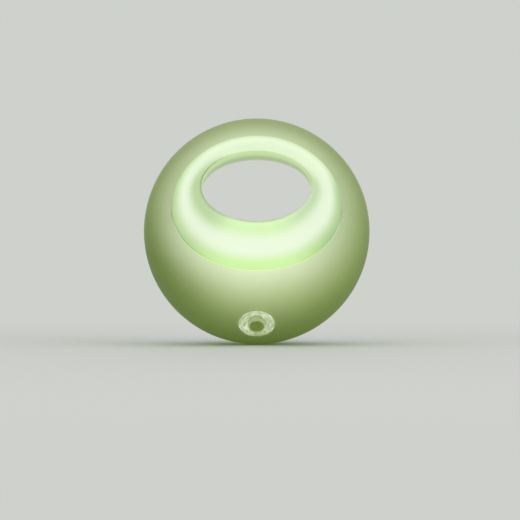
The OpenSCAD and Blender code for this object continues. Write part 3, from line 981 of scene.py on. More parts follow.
@dataclass(frozen=True)
class Screws:
    """A pair of pan-head screws with a cross recess and a thread."""

    name: str
    node: str
    pitch: float
    drop: float
    seat: float
    head_d: float
    head_t: float
    shaft_d: float
    length: float
    way: int
    thread: float = 0.8
    slot_shares: Range = (0.11, 0.56)
    slot_over: float = 1.1
    crown: float = 0.55
    crown_power: float = 4.0
    ridge: float = 0.22
    tip: float = 0.4
    head_parts: tuple[int, int, int] = (48, 6, 4)
    shaft_parts: tuple[int, int] = (24, 120)

    def places(self, middle: Point | float = 0.0, depth: float = 0.0) -> list[Point]:
        """Where the two screws stand, at a depth, about a middle."""
        return [middle + vec(side * self.pitch / 2, depth, -self.drop) for side in (-1, 1)]

    def head(self, net: GeometryTree) -> NodeSocket:
        """Pan head, which stands on the seat.

        Args:
            net: The tree.

        Returns:
            The head's geometry.
        """
        width, height = net.size("Head Diameter"), net.size("Head Height")
        radius = width * 0.5
        around, rows, rings = self.head_parts
        disc = net.add("MeshCylinder", Vertices=around, Side_Segments=rows,
                       Fill_Segments=rings, Radius=radius, Depth=height)
        x, y, z = net.place()
        reach = (x.square() + y.square()).sqrt() / radius
        crown = 1.0 - reach.using("POWER", self.crown_power) * self.crown
        lifted = (z + height * 0.5) * crown
        pan = net.add("SetPosition", Geometry=disc, Position=net.vector(x, y, lifted))
        sizes = [width * share for share in self.slot_shares]
        slots = [
            net.raised(net.add("MeshCube", Size=net.vector(*pair, height * self.slot_over)), height)
            for pair in (sizes, sizes[::-1])
        ]
        return net.cut(pan, *slots)

    def shaft(self, net: GeometryTree) -> NodeSocket:
        """Threaded shaft below the seat.

        Args:
            net: The tree.

        Returns:
            The shaft's geometry.
        """
        radius, length = net.size("Shaft Diameter") * 0.5, net.size("Length")
        around, rows = self.shaft_parts
        bar = net.add("MeshCylinder", Vertices=around, Side_Segments=rows, Radius=radius,
                      Depth=length)
        x, y, z = net.place()
        turn = net.math("ARCTAN2", y, x) / FULL
        phase = (z / net.size("Pitch") - turn).using("FRACT")
        ridge = 1.0 - (phase - 0.5).using("ABSOLUTE") * 2.0
        point = ((z + length * 0.5) / (radius * 2.0)).using("MINIMUM", 1.0)
        slim = (ridge * self.ridge + (1.0 - self.ridge)) * (point * (1.0 - self.tip) + self.tip)
        spot = net.vector(x * slim, y * slim, z - length * 0.5)
        return net.add("SetPosition", Geometry=bar, Position=spot)

    def make(self, ball: Ball, finish: Material) -> None:
        """Make and dress the screws.

        Args:
            ball: The ball that they stand in.
            finish: Their metal.
        """
        net = GeometryTree(self.name, {
            "Head Diameter": self.head_d * MM, "Head Height": self.head_t * MM,
            "Shaft Diameter": self.shaft_d * MM, "Length": self.length * MM,
            "Pitch": self.thread * MM,
        })
        one = net.joined(self.head(net), self.shaft(net))
        spots = [
            net.add("Points", Count=1, Position=tuple(float(c) * MM for c in place))
            for place in self.places(ball.middle, self.seat)
        ]
        spread = net.add("InstanceOnPoints", Points=net.joined(*spots), Instance=one,
                         Rotation=(-QUARTER * self.way, 0.0, 0.0))
        piece = net.grow(spread, finish)
        tidy_mesh(piece)
        shade(piece)
        enlist(piece, self.node)


CASE_SCREWS = Screws("ClosureScrews", "case_screws", 50.0, 11.5, 16.0, 5.2, 1.8, 2.3, 19.0, 1)
BOARD_SCREWS = Screws("BoardScrews", "board_screws", 33.0, 7.0, 10.0, 4.0, 1.4, 1.9, 6.3, -1)


@dataclass(frozen=True)
class Shells:
    """The two halves of the ball."""

    ball: Ball
    around: int = 240
    along: int = 64
    edge: float = 0.3
    back_edge: float = 0.9
    post: float = 1.6
    boss: float = 1.2
    board_back: float = 11.6
    spigot: float = 3.0
    spigot_wall: float = 1.6
    spigot_end: float = 10.0
    front_share: float = 1.2
    overlap: float = 0.1
    post_steps: int = 36
    zone_steps: int = 26
    back_steps: int = 6
    inside_steps: int = 8

    def front_profile(self, angle: float) -> list[Point]:
        """Closed outline of the front shell's wall.

        Args:
            angle: Angle round the mouth.

        Returns:
            The outline's points.
        """
        ball, edge, way, joint = self.ball, self.edge, about(angle), vec(0, self.ball.split, 0)
        split_r = leg(ball.radius, ball.split)
        rim = ball.mouth_point(angle, ball.gap, ball.radius)
        outer = arc_between(rim, split_r * way + joint, self.along)
        skirt, deep = ball.gap + ball.skirt_wall, ball.inner - ball.skirt
        inner = arc_between(leg(ball.inner, ball.split) * way + joint,
                            ball.mouth_point(angle, skirt, ball.inner), self.along // 4)
        return [
            *rounded(ball.mouth_point(angle, ball.gap, ball.radius, edge), outer[0],
                     ball.on_surface(towards(outer[0], outer[1], edge))),
            *outer[1:-1],
            *rounded(ball.on_surface(towards(outer[-1], outer[-2], edge)), outer[-1],
                     (split_r - edge) * way + joint),
            *inner,
            ball.mouth_point(angle, skirt, deep),
            ball.mouth_point(angle, ball.gap, deep),
        ]

    def capped_post(self, place: Point, radius: float, end: float) -> Object:
        """Round post along the depth that reaches forward into the shell's wall, as a tool.

        Args:
            place: Its place, from the ball's centre.
            radius: Its radius.
            end: Depth of its rear end.

        Returns:
            The post.
        """
        limit = self.ball.radius - self.ball.wall / 2
        rows = []
        for angle in circle(self.post_steps):
            spots = [place + about(angle) * radius * share for share in CAP_SHARES]
            rows.append([
                *[vec(x, -math.sqrt(limit**2 - x**2 - z**2), z) for x, _, z in spots],
                vec(spots[-1][0], end, spots[-1][2]), vec(place[0], end, place[2]),
            ])
        return loft("post", rows, self.ball.centre)

    def front(self, sensor: Sensor) -> Object:
        """Make the front shell.

        Args:
            sensor: The sensor that it holds.

        Returns:
            The shell.
        """
        ball, screws = self.ball, CASE_SCREWS
        rows = [self.front_profile(a) for a in circle(self.around)]
        piece = loft("FrontShell", rows, ball.centre)
        post_r = screws.shaft_d / 2 + self.front_share * self.post
        posts = [self.capped_post(place, post_r, ball.split) for place in screws.places()]
        carve(piece, [*posts, sensor.boss(self.boss)], "UNION")
        start, end = screws.seat - screws.length - OVERRUN, ball.split + OVERRUN
        bores = rods(screws.shaft_d / 2 + ball.slip, screws.places(ball.middle), start, end)
        carve(piece, [*bores, sensor.bore()], "DIFFERENCE")
        shade(piece)
        round_like_ball(piece, ball)
        return piece

    def rear_profile(self) -> list[Range]:
        """Closed outline of the rear shell's wall.

        Returns:
            Its (radius, depth) points.
        """
        ball, edge, soft = self.ball, self.edge, self.back_edge
        split_r, back_r = leg(ball.radius, ball.split), leg(ball.radius, ball.back)
        start = math.asin(ball.back / ball.radius) - soft / ball.radius
        stop = math.asin(ball.split / ball.radius) + edge / ball.radius
        turns = [start + (stop - start) * s for s in shares(self.zone_steps)]
        zone = [ball.radius * np.array([math.cos(t), math.sin(t)]) for t in turns]
        back = [np.array([r, ball.back]) for r in (back_r - soft, back_r)]
        joint = [np.array([r, ball.split]) for r in (split_r, split_r - edge)]
        corner = rounded(*back, zone[0], self.back_steps)
        outside = [*corner, *zone[1:-1], *rounded(zone[-1], *joint)]
        spigot = leg(ball.inner, ball.split) - ball.gap
        spigot_in, lip = spigot - self.spigot_wall, ball.split - self.spigot
        depth = ball.back_in - self.spigot_end
        inside = [self.spigot_end + depth * s for s in shares(self.inside_steps)]
        return [
            (0.0, ball.back),
            *[tuple(p) for p in outside],
            (leg(ball.inner, ball.split), ball.split),
            (spigot, leg(ball.inner, spigot)),
            (spigot, lip + edge), (spigot - edge, lip),
            (spigot_in, lip), (spigot_in, self.spigot_end),
            *[(leg(ball.inner, y), y) for y in inside],
            (0.0, ball.back_in),
        ]

    def rear(self, plug: Plug) -> Object:
        """Make the rear shell.

        Args:
            plug: The plug that it holds.

        Returns:
            The shell.
        """
        ball, case, board = self.ball, CASE_SCREWS, BOARD_SCREWS
        piece = lathe("RearShell", self.rear_profile(), ball.centre, self.around)
        start, end = ball.back_in - OVERRUN, ball.back + OVERRUN
        front, inner_end = ball.split - OVERRUN, ball.back - ball.back_wall / 2
        case_at, board_at = case.places(ball.middle), board.places(ball.middle)
        carve(piece, [
            *rods(case.head_d / 2 + self.post, case_at, ball.split, inner_end),
            *rods(board.shaft_d / 2 + self.post, board_at, self.board_back, inner_end),
        ], "UNION")
        grow = ball.collar_wall + ball.gap
        opening = [
            [ball.outlet.point(a, depth, grow) for depth in (start, end)]
            for a in circle(self.around)
        ]
        tools = [loft("opening", opening, ball.centre, True), plug.opening(ball.gap, start, end)]
        for place in case_at:
            tools += rods(case.shaft_d / 2 + ball.gap, [place], front, case.seat + self.overlap)
            tools += rods(case.head_d / 2 + ball.gap, [place], case.seat, end)
        tools += rods(board.shaft_d / 2 + ball.slip, board_at, self.board_back - OVERRUN,
                      ball.back_in - ball.slip)
        carve(piece, tools, "DIFFERENCE")
        shade(piece)
        return piece

    def make(self, sensor: Sensor, plug: Plug) -> None:
        """Make and dress both shells.

        Args:
            sensor: The sensor that the front shell holds.
            plug: The plug that the rear shell holds.
        """
        finish = GlowingShell("shell_green", self.ball).make()
        enlist(self.front(sensor), "front_shell", finish)
        enlist(self.rear(plug), "rear_shell", finish)


def round_like_ball(piece: Object, ball: Ball) -> None:
    """Give the faces on the ball's surface the ball's own normals, so that cuts leave no marks.

    Args:
        piece: The piece whose normals are set.
        ball: The ball.
    """
    mesh = piece.data
    places = np.empty(len(mesh.vertices) * 3)
    mesh.vertices.foreach_get("co", places)
    ways = places.reshape(-1, 3) - ball.middle * MM
    radii = np.linalg.norm(ways, axis=1)
    on_ball = np.abs(radii - ball.radius * MM) < ON_BALL_M
    ways /= np.maximum(radii, TINY_M)[:, None]
    normals = np.zeros((len(mesh.loops), 3))
    for face in mesh.polygons:
        if all(on_ball[v] for v in face.vertices):
            normals[list(face.loop_indices)] = ways[list(face.vertices)]
    mesh.normals_split_custom_set([tuple(n) for n in normals])


@dataclass(frozen=True)
class LightRing:
    """The frosted ring in the mouth: its face turns in from the rim to the hole."""

    ball: Ball
    around: int = 256
    along: int = 44
    land_steps: int = 2
    soft: float = 0.22
    soft_steps: int = 3
    soft_angle: float = math.radians(50)

    def place(self, net: GeometryTree, angle: Term, along: Value, wall: Value) -> NodeSocket:
        """Place of a point of the ring.

        Args:
            net: The tree that the formula is built in.
            angle: Angle round the ring.
            along: From 0 at the rim over 1 at the narrow end to 2 at the end of the land.
            wall: From 0 on the face to 1 on the back.

        Returns:
            The vector socket, in metres in the row frame.
        """
        size = net.size
        radius, tilt = size("Ball Radius"), size("Tilt")
        x = size("Mouth Width") * 0.5 * angle.cos()
        u = size("Mouth Height") * 0.5 * angle.sin()
        h = (radius.square() - x.square() - u.square()).sqrt() - size("Rim Wall") * wall
        rim_y = u * tilt.sin() - h * tilt.cos()
        rim_z = u * tilt.cos() + h * tilt.sin()
        grow = size("Ring Wall") * wall
        end_x = (size("Throat Width") * 0.5 + grow) * angle.cos()
        end_z = (size("Throat Height") * 0.5 + grow) * angle.sin() + size("Throat Rise")
        turn = net.math("MINIMUM", along, 1.0) * QUARTER
        across, back = turn.sin(), 1.0 - turn.cos()
        land = net.math("MAXIMUM", net.math("SUBTRACT", along, 1.0), 0.0) * size("Land")
        spot = (
            x + (end_x - x) * across,
            rim_y + (size("Throat Depth") - rim_y) * back + land,
            rim_z + (end_z - rim_z) * across,
        )
        return net.vector(*((part + middle) * MM for part, middle in zip(spot, self.ball.centre)))

    def strip(self, net: GeometryTree, steps: int, start: float, wall: float | None,
              stored: bool) -> NodeSocket:
        """One strip of the ring's skin.

        Args:
            net: The tree.
            steps: Steps across the strip.
            start: Where along the ring the strip starts.
            wall: Its place in the wall; with none, it stays at its start and crosses the wall.
            stored: Whether it keeps its place along the face for the material.

        Returns:
            The strip's geometry.
        """
        grid = net.add("MeshGrid", Vertices_X=net.size("Around") + 1, Vertices_Y=steps + 1)
        index = net.index()
        column = (index / (steps + 1)).using("FLOOR")
        share = (index - column * (steps + 1)) / steps
        angle = column / net.size("Around") * FULL
        along, wall = (start, share) if wall is None else (share + start, wall)
        moved = net.add("SetPosition", Geometry=grid, Position=self.place(net, angle, along, wall))
        inward = net.math("MINIMUM", along, 1.0) if stored else 1.0
        return net.add("StoreNamedAttribute", Geometry=moved, Name="inward", Value=inward)

    def make(self) -> None:
        """Make and dress the ring."""
        ball = self.ball
        net = GeometryTree("LightRing", {
            "Ball Radius": ball.radius, "Mouth Width": ball.mouth_w, "Mouth Height": ball.mouth_h,
            "Tilt": ball.tilt, "Throat Width": ball.throat.width,
            "Throat Height": ball.throat.height, "Throat Rise": ball.throat.rise,
            "Throat Depth": ball.throat_at, "Ring Wall": ball.ring_wall,
            "Rim Wall": ball.rim_wall, "Land": ball.land, "Around": self.around,
        })
        whole = net.joined(*(self.strip(net, *strip) for strip in (
            (self.along, 0.0, 0.0, True), (self.land_steps, 1.0, 0.0, True),
            (self.along // 2, 0.0, 1.0, False), (self.land_steps, 1.0, 1.0, False),
            (1, 0.0, None, True), (1, 2.0, None, False),
        )))
        merged = net.add("MergeByDistance", Geometry=whole, Distance=MERGE_M)
        piece = net.grow(merged, GlowingRing("ring_glow", ball).make())
        tidy_mesh(piece)
        bevel = piece.modifiers.new("soften", "BEVEL")
        bevel.width, bevel.segments = self.soft * MM, self.soft_steps
        bevel.limit_method, bevel.angle_limit = "ANGLE", self.soft_angle
        settle(piece)
        shade(piece)
        enlist(piece, "light_ring")


@dataclass(frozen=True)
class CollarGlow(Look):
    """Green plastic behind the ring, which passes on a little of the ring's light."""

    ball: Ball
    base: Colour = (118, 142, 74)
    paler: Colour = (122, 146, 78)
    front: Colour = (190, 210, 163)
    middle: Colour = (160, 174, 142)
    fade: float = 2.4
    dark: Range = (21.0, 8.0)
    studio: float = 0.35
    patch: float = 5.0
    shine: float = 0.25
    grain: Grain = Grain(0.3, 0.08, 0.42, 0.0025)

    def own_light(self, total: Colour) -> Colour:
        """Emission that, with the studio's light on the plastic, gives a colour."""
        pairs = zip(linear(total), linear(self.base))
        return tuple(max(whole - self.studio * own, 0.0) for whole, own in pairs)

    def paint(self, surface: Surface) -> None:
        """Set up the glow, which fades behind the ring, and the plastic.

        Args:
            surface: The material's tree.
        """
        behind = surface.place(self.ball.centre)[1] - (self.ball.throat_at + self.ball.land)
        patches, fading = surface.noise(self.patch), behind.step(self.fade, 0.0)
        surface.put(
            Base_Color=surface.mix(patches, linear(self.base), linear(self.paler)),
            Emission_Color=surface.mix(
                fading, self.own_light(self.middle), self.own_light(self.front)
            ),
            Emission_Strength=behind.step(*self.dark),
            Specular_IOR_Level=self.shine,
        )
        surface.lay(self.grain)


@dataclass(frozen=True)
class RearCollar:
    """The sleeve behind the ring that lines the rest of the hole."""

    ball: Ball
    crest_w: float = 36.6
    crest_h: float = 20.8
    crest: float = 6.0
    soft: float = 0.35
    around: int = 200
    crest_steps: int = 12
    flare_steps: int = 14

    def profile(self, angle: float) -> list[Point]:
        """Closed outline of the collar's wall.

        Args:
            angle: Angle round the hole.

        Returns:
            The outline's points.
        """
        ball = self.ball
        throat, outlet, wall = ball.throat, ball.outlet, ball.collar_wall
        socket = ball.ring_wall + ball.gap
        front = ball.throat_at + ball.land / 5
        lip_at = ball.throat_at + ball.land + ball.gap
        crest_rise = throat.rise - throat.height / 2 + self.crest_h / 2
        narrow = Oval(self.crest_w, self.crest_h, crest_rise)
        lip, crest = throat.point(angle, lip_at), narrow.point(angle, lip_at + self.crest)
        mouth, brim = outlet.point(angle, ball.back), outlet.point(angle, ball.back, wall)
        bed = outlet.point(angle, ball.back_in - ball.gap, wall)
        flare = [bend(crest, mouth, QUARTER * s, True) for s in shares(self.flare_steps)[1:]]
        return [
            *[bend(lip, crest, QUARTER * s) for s in shares(self.crest_steps)],
            *flare[:-1],
            *soften(flare[-2], mouth, brim, self.soft),
            *soften(mouth, brim, bed, self.soft),
            bed,
            throat.point(angle, front, socket + wall),
            throat.point(angle, front, socket),
            throat.point(angle, lip_at, socket),
        ]

    def make(self) -> None:
        """Make and dress the collar."""
        rows = [self.profile(a) for a in circle(self.around)]
        piece = loft("RearCollar", rows, self.ball.centre)
        shade(piece)
        finish = CollarGlow("collar_green", self.ball).make()
        enlist(piece, "rear_collar", finish)


@dataclass(frozen=True)
class ClearCap(Look):
    """Clear plastic of the sensor's lens."""

    tint: Colour = (240, 248, 232)
    wave: float = 2.5
    wave_edge: Range = (0.35, 0.65)
    roughness: float = 0.03
    play: float = 0.05
    index: float = 1.2
    relief: float = 0.01

    def paint(self, surface: Surface) -> None:
        """Set up clear plastic with faint waves.

        Args:
            surface: The material's tree.
        """
        waves = surface.noise(self.wave, FINE)
        tinted = waves.step(*self.wave_edge)
        surface.put(
            Base_Color=surface.mix(tinted, linear(self.tint), (1.0, 1.0, 1.0)),
            Roughness=waves * self.play + self.roughness,
            Transmission_Weight=1.0, IOR=self.index,
        )
        surface.bump(waves, self.relief)


@dataclass(frozen=True)
class LitFacets(Look):
    """The cut back of the lens, with painted light: glowing streaks and painted glints round a
    green window.

    Each range is a smooth step over the place across the block, from 0 at its middle to 1.
    """

    up: Point
    middle: Point
    base: Colour = (140, 156, 110)
    bright: Colour = (246, 248, 236)
    dull: Colour = (178, 190, 148)
    # Painted shade: the block is darker and greener towards its bottom.
    low: Colour = (150, 166, 108)
    low_shade_over: Range = (-3.0, -5.2)
    # Painted shade: a dark line along the groove.
    groove: Colour = (112, 130, 72)
    groove_shade_over: Range = (0.42, 0.34)
    wall: Colour = (174, 187, 138)
    wall_over: Range = (0.34, 0.28)
    window: Colour = (122, 140, 70)
    window_over: Range = (0.13, 0.10)
    studio: float = 0.5
    roughness: float = 0.25

    def paint(self, surface: Surface) -> None:
        """Set up the painted light of the streaks and glints, the painted shade of the groove and
        the lower part, the wall and the window.

        Args:
            surface: The material's tree.
        """
        glint, spread = surface.stored("glint"), surface.stored("spread")
        _, y, z = surface.place(self.middle)
        high = y * float(self.up[1]) + z * float(self.up[2])
        window = spread.step(*self.window_over)
        # Painted light and shade: the streaks glow, glints are painted highlights, the groove and
        # the lower part are painted darker as shade.
        total = linear(self.dull)
        for factor, colour in (
            (high.step(*self.low_shade_over), self.low), (glint, self.bright),
            (spread.step(*self.groove_shade_over), self.groove),
            (spread.step(*self.wall_over), self.wall), (window, self.window),
        ):
            total = surface.mix(factor, total, linear(colour))
        own = tuple(self.studio * c for c in linear(self.base))
        surface.put(
            Base_Color=surface.mix(window, linear(self.base), linear(self.window)),
            Roughness=self.roughness,
            Emission_Color=surface.beyond(total, own), Emission_Strength=1.0,
        )


@dataclass
class Sensor:
    """The clear lens low on the front, its bezel and the light pipe behind it.

    The ovals under the lens hold half a width, half a height, a rise and a depth.
    """

    ball: Ball
    dip: float = math.radians(54.4)
    tilt: float = math.radians(16)
    lens_r: float = 6.0
    bezel: float = 0.95
    bezel_soft: float = 0.34
    lens_soft: float = 0.25
    length: float = 8.5
    beyond: float = 9.0
    pipe_r: float = 2.6
    pipe: float = 3.0
    pipe_sunk: float = 0.3
    cap: float = 0.4
    window: Sequence[float] = (2.37, 2.5, -1.75, 1.7)
    bevel: Sequence[float] = (2.6, 2.7, -1.35, 1.3)
    ledge: Sequence[float] = (2.85, 3.75, -0.45, 1.0)
    groove: Sequence[float] = (2.97, 3.9, -0.37, 1.25)
    brim: Sequence[float] = (3.3, 4.3, -0.4, 0.75)
    cap_shares: Sequence[float] = (0.0, 0.25, 0.5, 0.75, 0.9)
    block_gap: float = 0.02
    block_sunk: float = 0.05
    sectors: int = 36
    streaks: int = 10
    sway: float = 0.07
    relief: float = 0.25
    ridge: float = 0.8
    rough: float = 0.6
    glint_power: int = 3
    seed: int = 11
    around: int = 120
    boss_steps: int = 72

    def __post_init__(self) -> None:
        """Set up the sensor's own axes: out along the lens, up and across."""
        self.out = vec(0.0, -math.cos(self.tilt), -math.sin(self.tilt))
        self.up = vec(0.0, -math.sin(self.tilt), math.cos(self.tilt))
        self.side = vec(1.0, 0.0, 0.0)
        self.middle = self.ball.radius * vec(0.0, -math.cos(self.dip), -math.sin(self.dip))

    @property
    def bore_r(self) -> float:
        """Radius of the shell's bore."""
        return self.lens_r + self.bezel + 2 * self.ball.slip

    def flat(self, angle: float, radius: float, out: float) -> Point:
        """Point at an angle and radius about the lens's axis and a distance out along it."""
        across, high = radius * math.cos(angle), radius * math.sin(angle)
        return self.middle + across * self.side + high * self.up + out * self.out

    def under(self, angle: float, radius: float, sink: float = 0.0) -> Point:
        """Point below the ball's surface, seen along the lens's axis.

        Args:
            angle: Angle about the axis.
            radius: Distance from the axis.
            sink: Depth below the surface.

        Returns:
            The point, from the ball's centre.
        """
        foot = self.flat(angle, radius, 0.0)
        half = float(np.dot(foot, self.out))
        limit = self.ball.radius - sink
        reach = -half + math.sqrt(half**2 - float(np.dot(foot, foot)) + limit**2)
        return foot + reach * self.out

    def sunk(self, angle: float, oval: Sequence[float]) -> Point:
        """Point of an oval under the ball's surface, at an angle about the lens's axis."""
        across, high = oval[0] * math.cos(angle), oval[1] * math.sin(angle) + oval[2]
        return self.under(math.atan2(high, across), math.hypot(across, high), oval[3])

    def bar(self, name: str, radius: float, start: float, end: float, steps: int) -> Object:
        """Round bar along the lens's axis.

        Args:
            name: The object's name.
            radius: Its radius.
            start: How far out it starts.
            end: How far out it ends.
            steps: Steps round it.

        Returns:
            The bar.
        """
        corners = ((0.0, start), (radius, start), (radius, end), (0.0, end))
        rows = [[self.flat(a, r, out) for r, out in corners] for a in circle(steps)]
        return loft(name, rows, self.ball.centre)

    def boss(self, wall: float) -> Object:
        """Boss of the shell around the sensor, as a tool.

        Args:
            wall: Wall of the boss round the bore.

        Returns:
            The boss.
        """
        radius, sink = self.bore_r + wall, self.ball.wall / 2
        rows = []
        for a in circle(self.boss_steps):
            front = [self.under(a, radius * share, sink) for share in CAP_SHARES]
            brim = float(np.dot(front[-1] - self.middle, self.out))
            end = self.flat(a, radius, min(brim, -self.length))
            rows.append([*front, end, self.flat(a, 0.0, -self.length)])
        return loft("boss", rows, self.ball.centre)

    def bore(self) -> Object:
        """Bore for the bezel and the lens, as a tool."""
        return self.bar("bore", self.bore_r, self.beyond, -self.beyond, self.around)

    def make_bezel(self) -> None:
        """Make and dress the bezel ring."""
        inner = self.lens_r + self.ball.slip
        outer, soft = inner + self.bezel, self.bezel_soft
        rows = []
        for a in circle(self.around):
            top_in, top_out = self.under(a, inner), self.under(a, outer)
            rows.append([
                *soften(self.flat(a, inner, -self.beyond), top_in, top_out, soft),
                *soften(top_in, top_out, self.flat(a, outer, -self.beyond), soft),
                self.flat(a, outer, -self.length), self.flat(a, inner, -self.length),
            ])
        piece = loft("SensorBezel", rows, self.ball.centre)
        shade(piece)
        # The bezel takes the shell's painted glow.
        look = GlowingShell("bezel_green", self.ball, (114, 141, 56), (110, 137, 53), roughness=0.3)
        enlist(piece, "sensor_bezel", look.make())

    def make_lens(self) -> None:
        """Make and dress the lens: a clear cap, the cut back under it and the light pipe."""
        rows = []
        for a in circle(self.around):
            rim, foot = self.under(a, self.lens_r), self.under(a, self.lens_r, self.cap)
            inside = [self.lens_r * share for share in self.cap_shares]
            rows.append([
                *[self.under(a, r) for r in inside],
                *rounded(self.under(a, self.lens_r - self.lens_soft), rim,
                         towards(rim, foot, self.lens_soft)),
                foot,
                *[self.under(a, r, self.cap) for r in reversed(inside)],
            ])
        cap = loft("SensorLens", rows, self.ball.centre)
        start, end = -self.length + self.pipe_sunk, -self.length - self.pipe
        pipe = self.bar("pipe", self.pipe_r, start, end, ROD_STEPS)
        clear = ClearCap("lens_clear").make()
        for piece in (cap, pipe):
            shade(piece)
            clothe(piece, clear)
        merge_objects(cap, [self.cut_back(), pipe])
        enlist(cap, "sensor_lens")

    def cut_back(self) -> Object:
        """Block under the clear cap: streaked facets around the sunk window of the light pipe.

        Returns:
            The block, in its material.
        """
        chance = np.random.default_rng(self.seed)
        outer = self.lens_r - self.block_gap
        rim = (outer, outer, 0.0, self.cap + self.block_sunk)
        inner = [(0.0, 0.0, *self.window[2:]), self.window, self.bevel, self.ledge, self.groove]
        points, spread = [], []
        for angle in circle(self.sectors):
            points += [self.sunk(angle, oval) for oval in inner]
            spread += [0.5 * j / len(inner) for j in range(len(inner))]
            for j, share in enumerate(shares(self.streaks)):
                oval = [a + (b - a) * share for a, b in zip(self.brim, rim)]
                free = 0.0 if j in (0, self.streaks) else 1.0
                turn = angle + free * chance.uniform(-self.sway, self.sway)
                height = (j % 2) * self.ridge + chance.uniform(0.0, self.rough)
                oval[3] += free * self.relief * height
                points.append(self.sunk(turn, oval))
                spread.append(0.5 + share / 2)
            points += [self.flat(angle, radius, -self.length) for radius in (outer, 0.0)]
            spread += [1.0, 1.0]
        centre = self.ball.middle
        faces = wrap(self.sectors, len(points) // self.sectors, False)
        piece = mesh_object("cut_back", [p + centre for p in points], faces)
        mark(piece, "spread", spread)
        # Painted highlights: a random glint strength for each point, which the facets' material
        # turns into bright spots.
        mark(piece, "glint", chance.random(len(points)) ** self.glint_power)
        tidy_mesh(piece)
        clothe(piece, LitFacets("lens_facets", self.up, centre + self.middle).make())
        return piece

    def make(self) -> None:
        """Make the bezel and the lens."""
        self.make_bezel()
        self.make_lens()


def merge_objects(target: Object, others: Sequence[Object]) -> None:
    """Join meshes to a target, with their materials and attributes.

    Args:
        target: The mesh that takes up the others.
        others: The meshes that are joined to it.
    """
    chosen = {"active_object": target, "selected_editable_objects": [target, *others]}
    with bpy.context.temp_override(**chosen):
        bpy.ops.object.join()


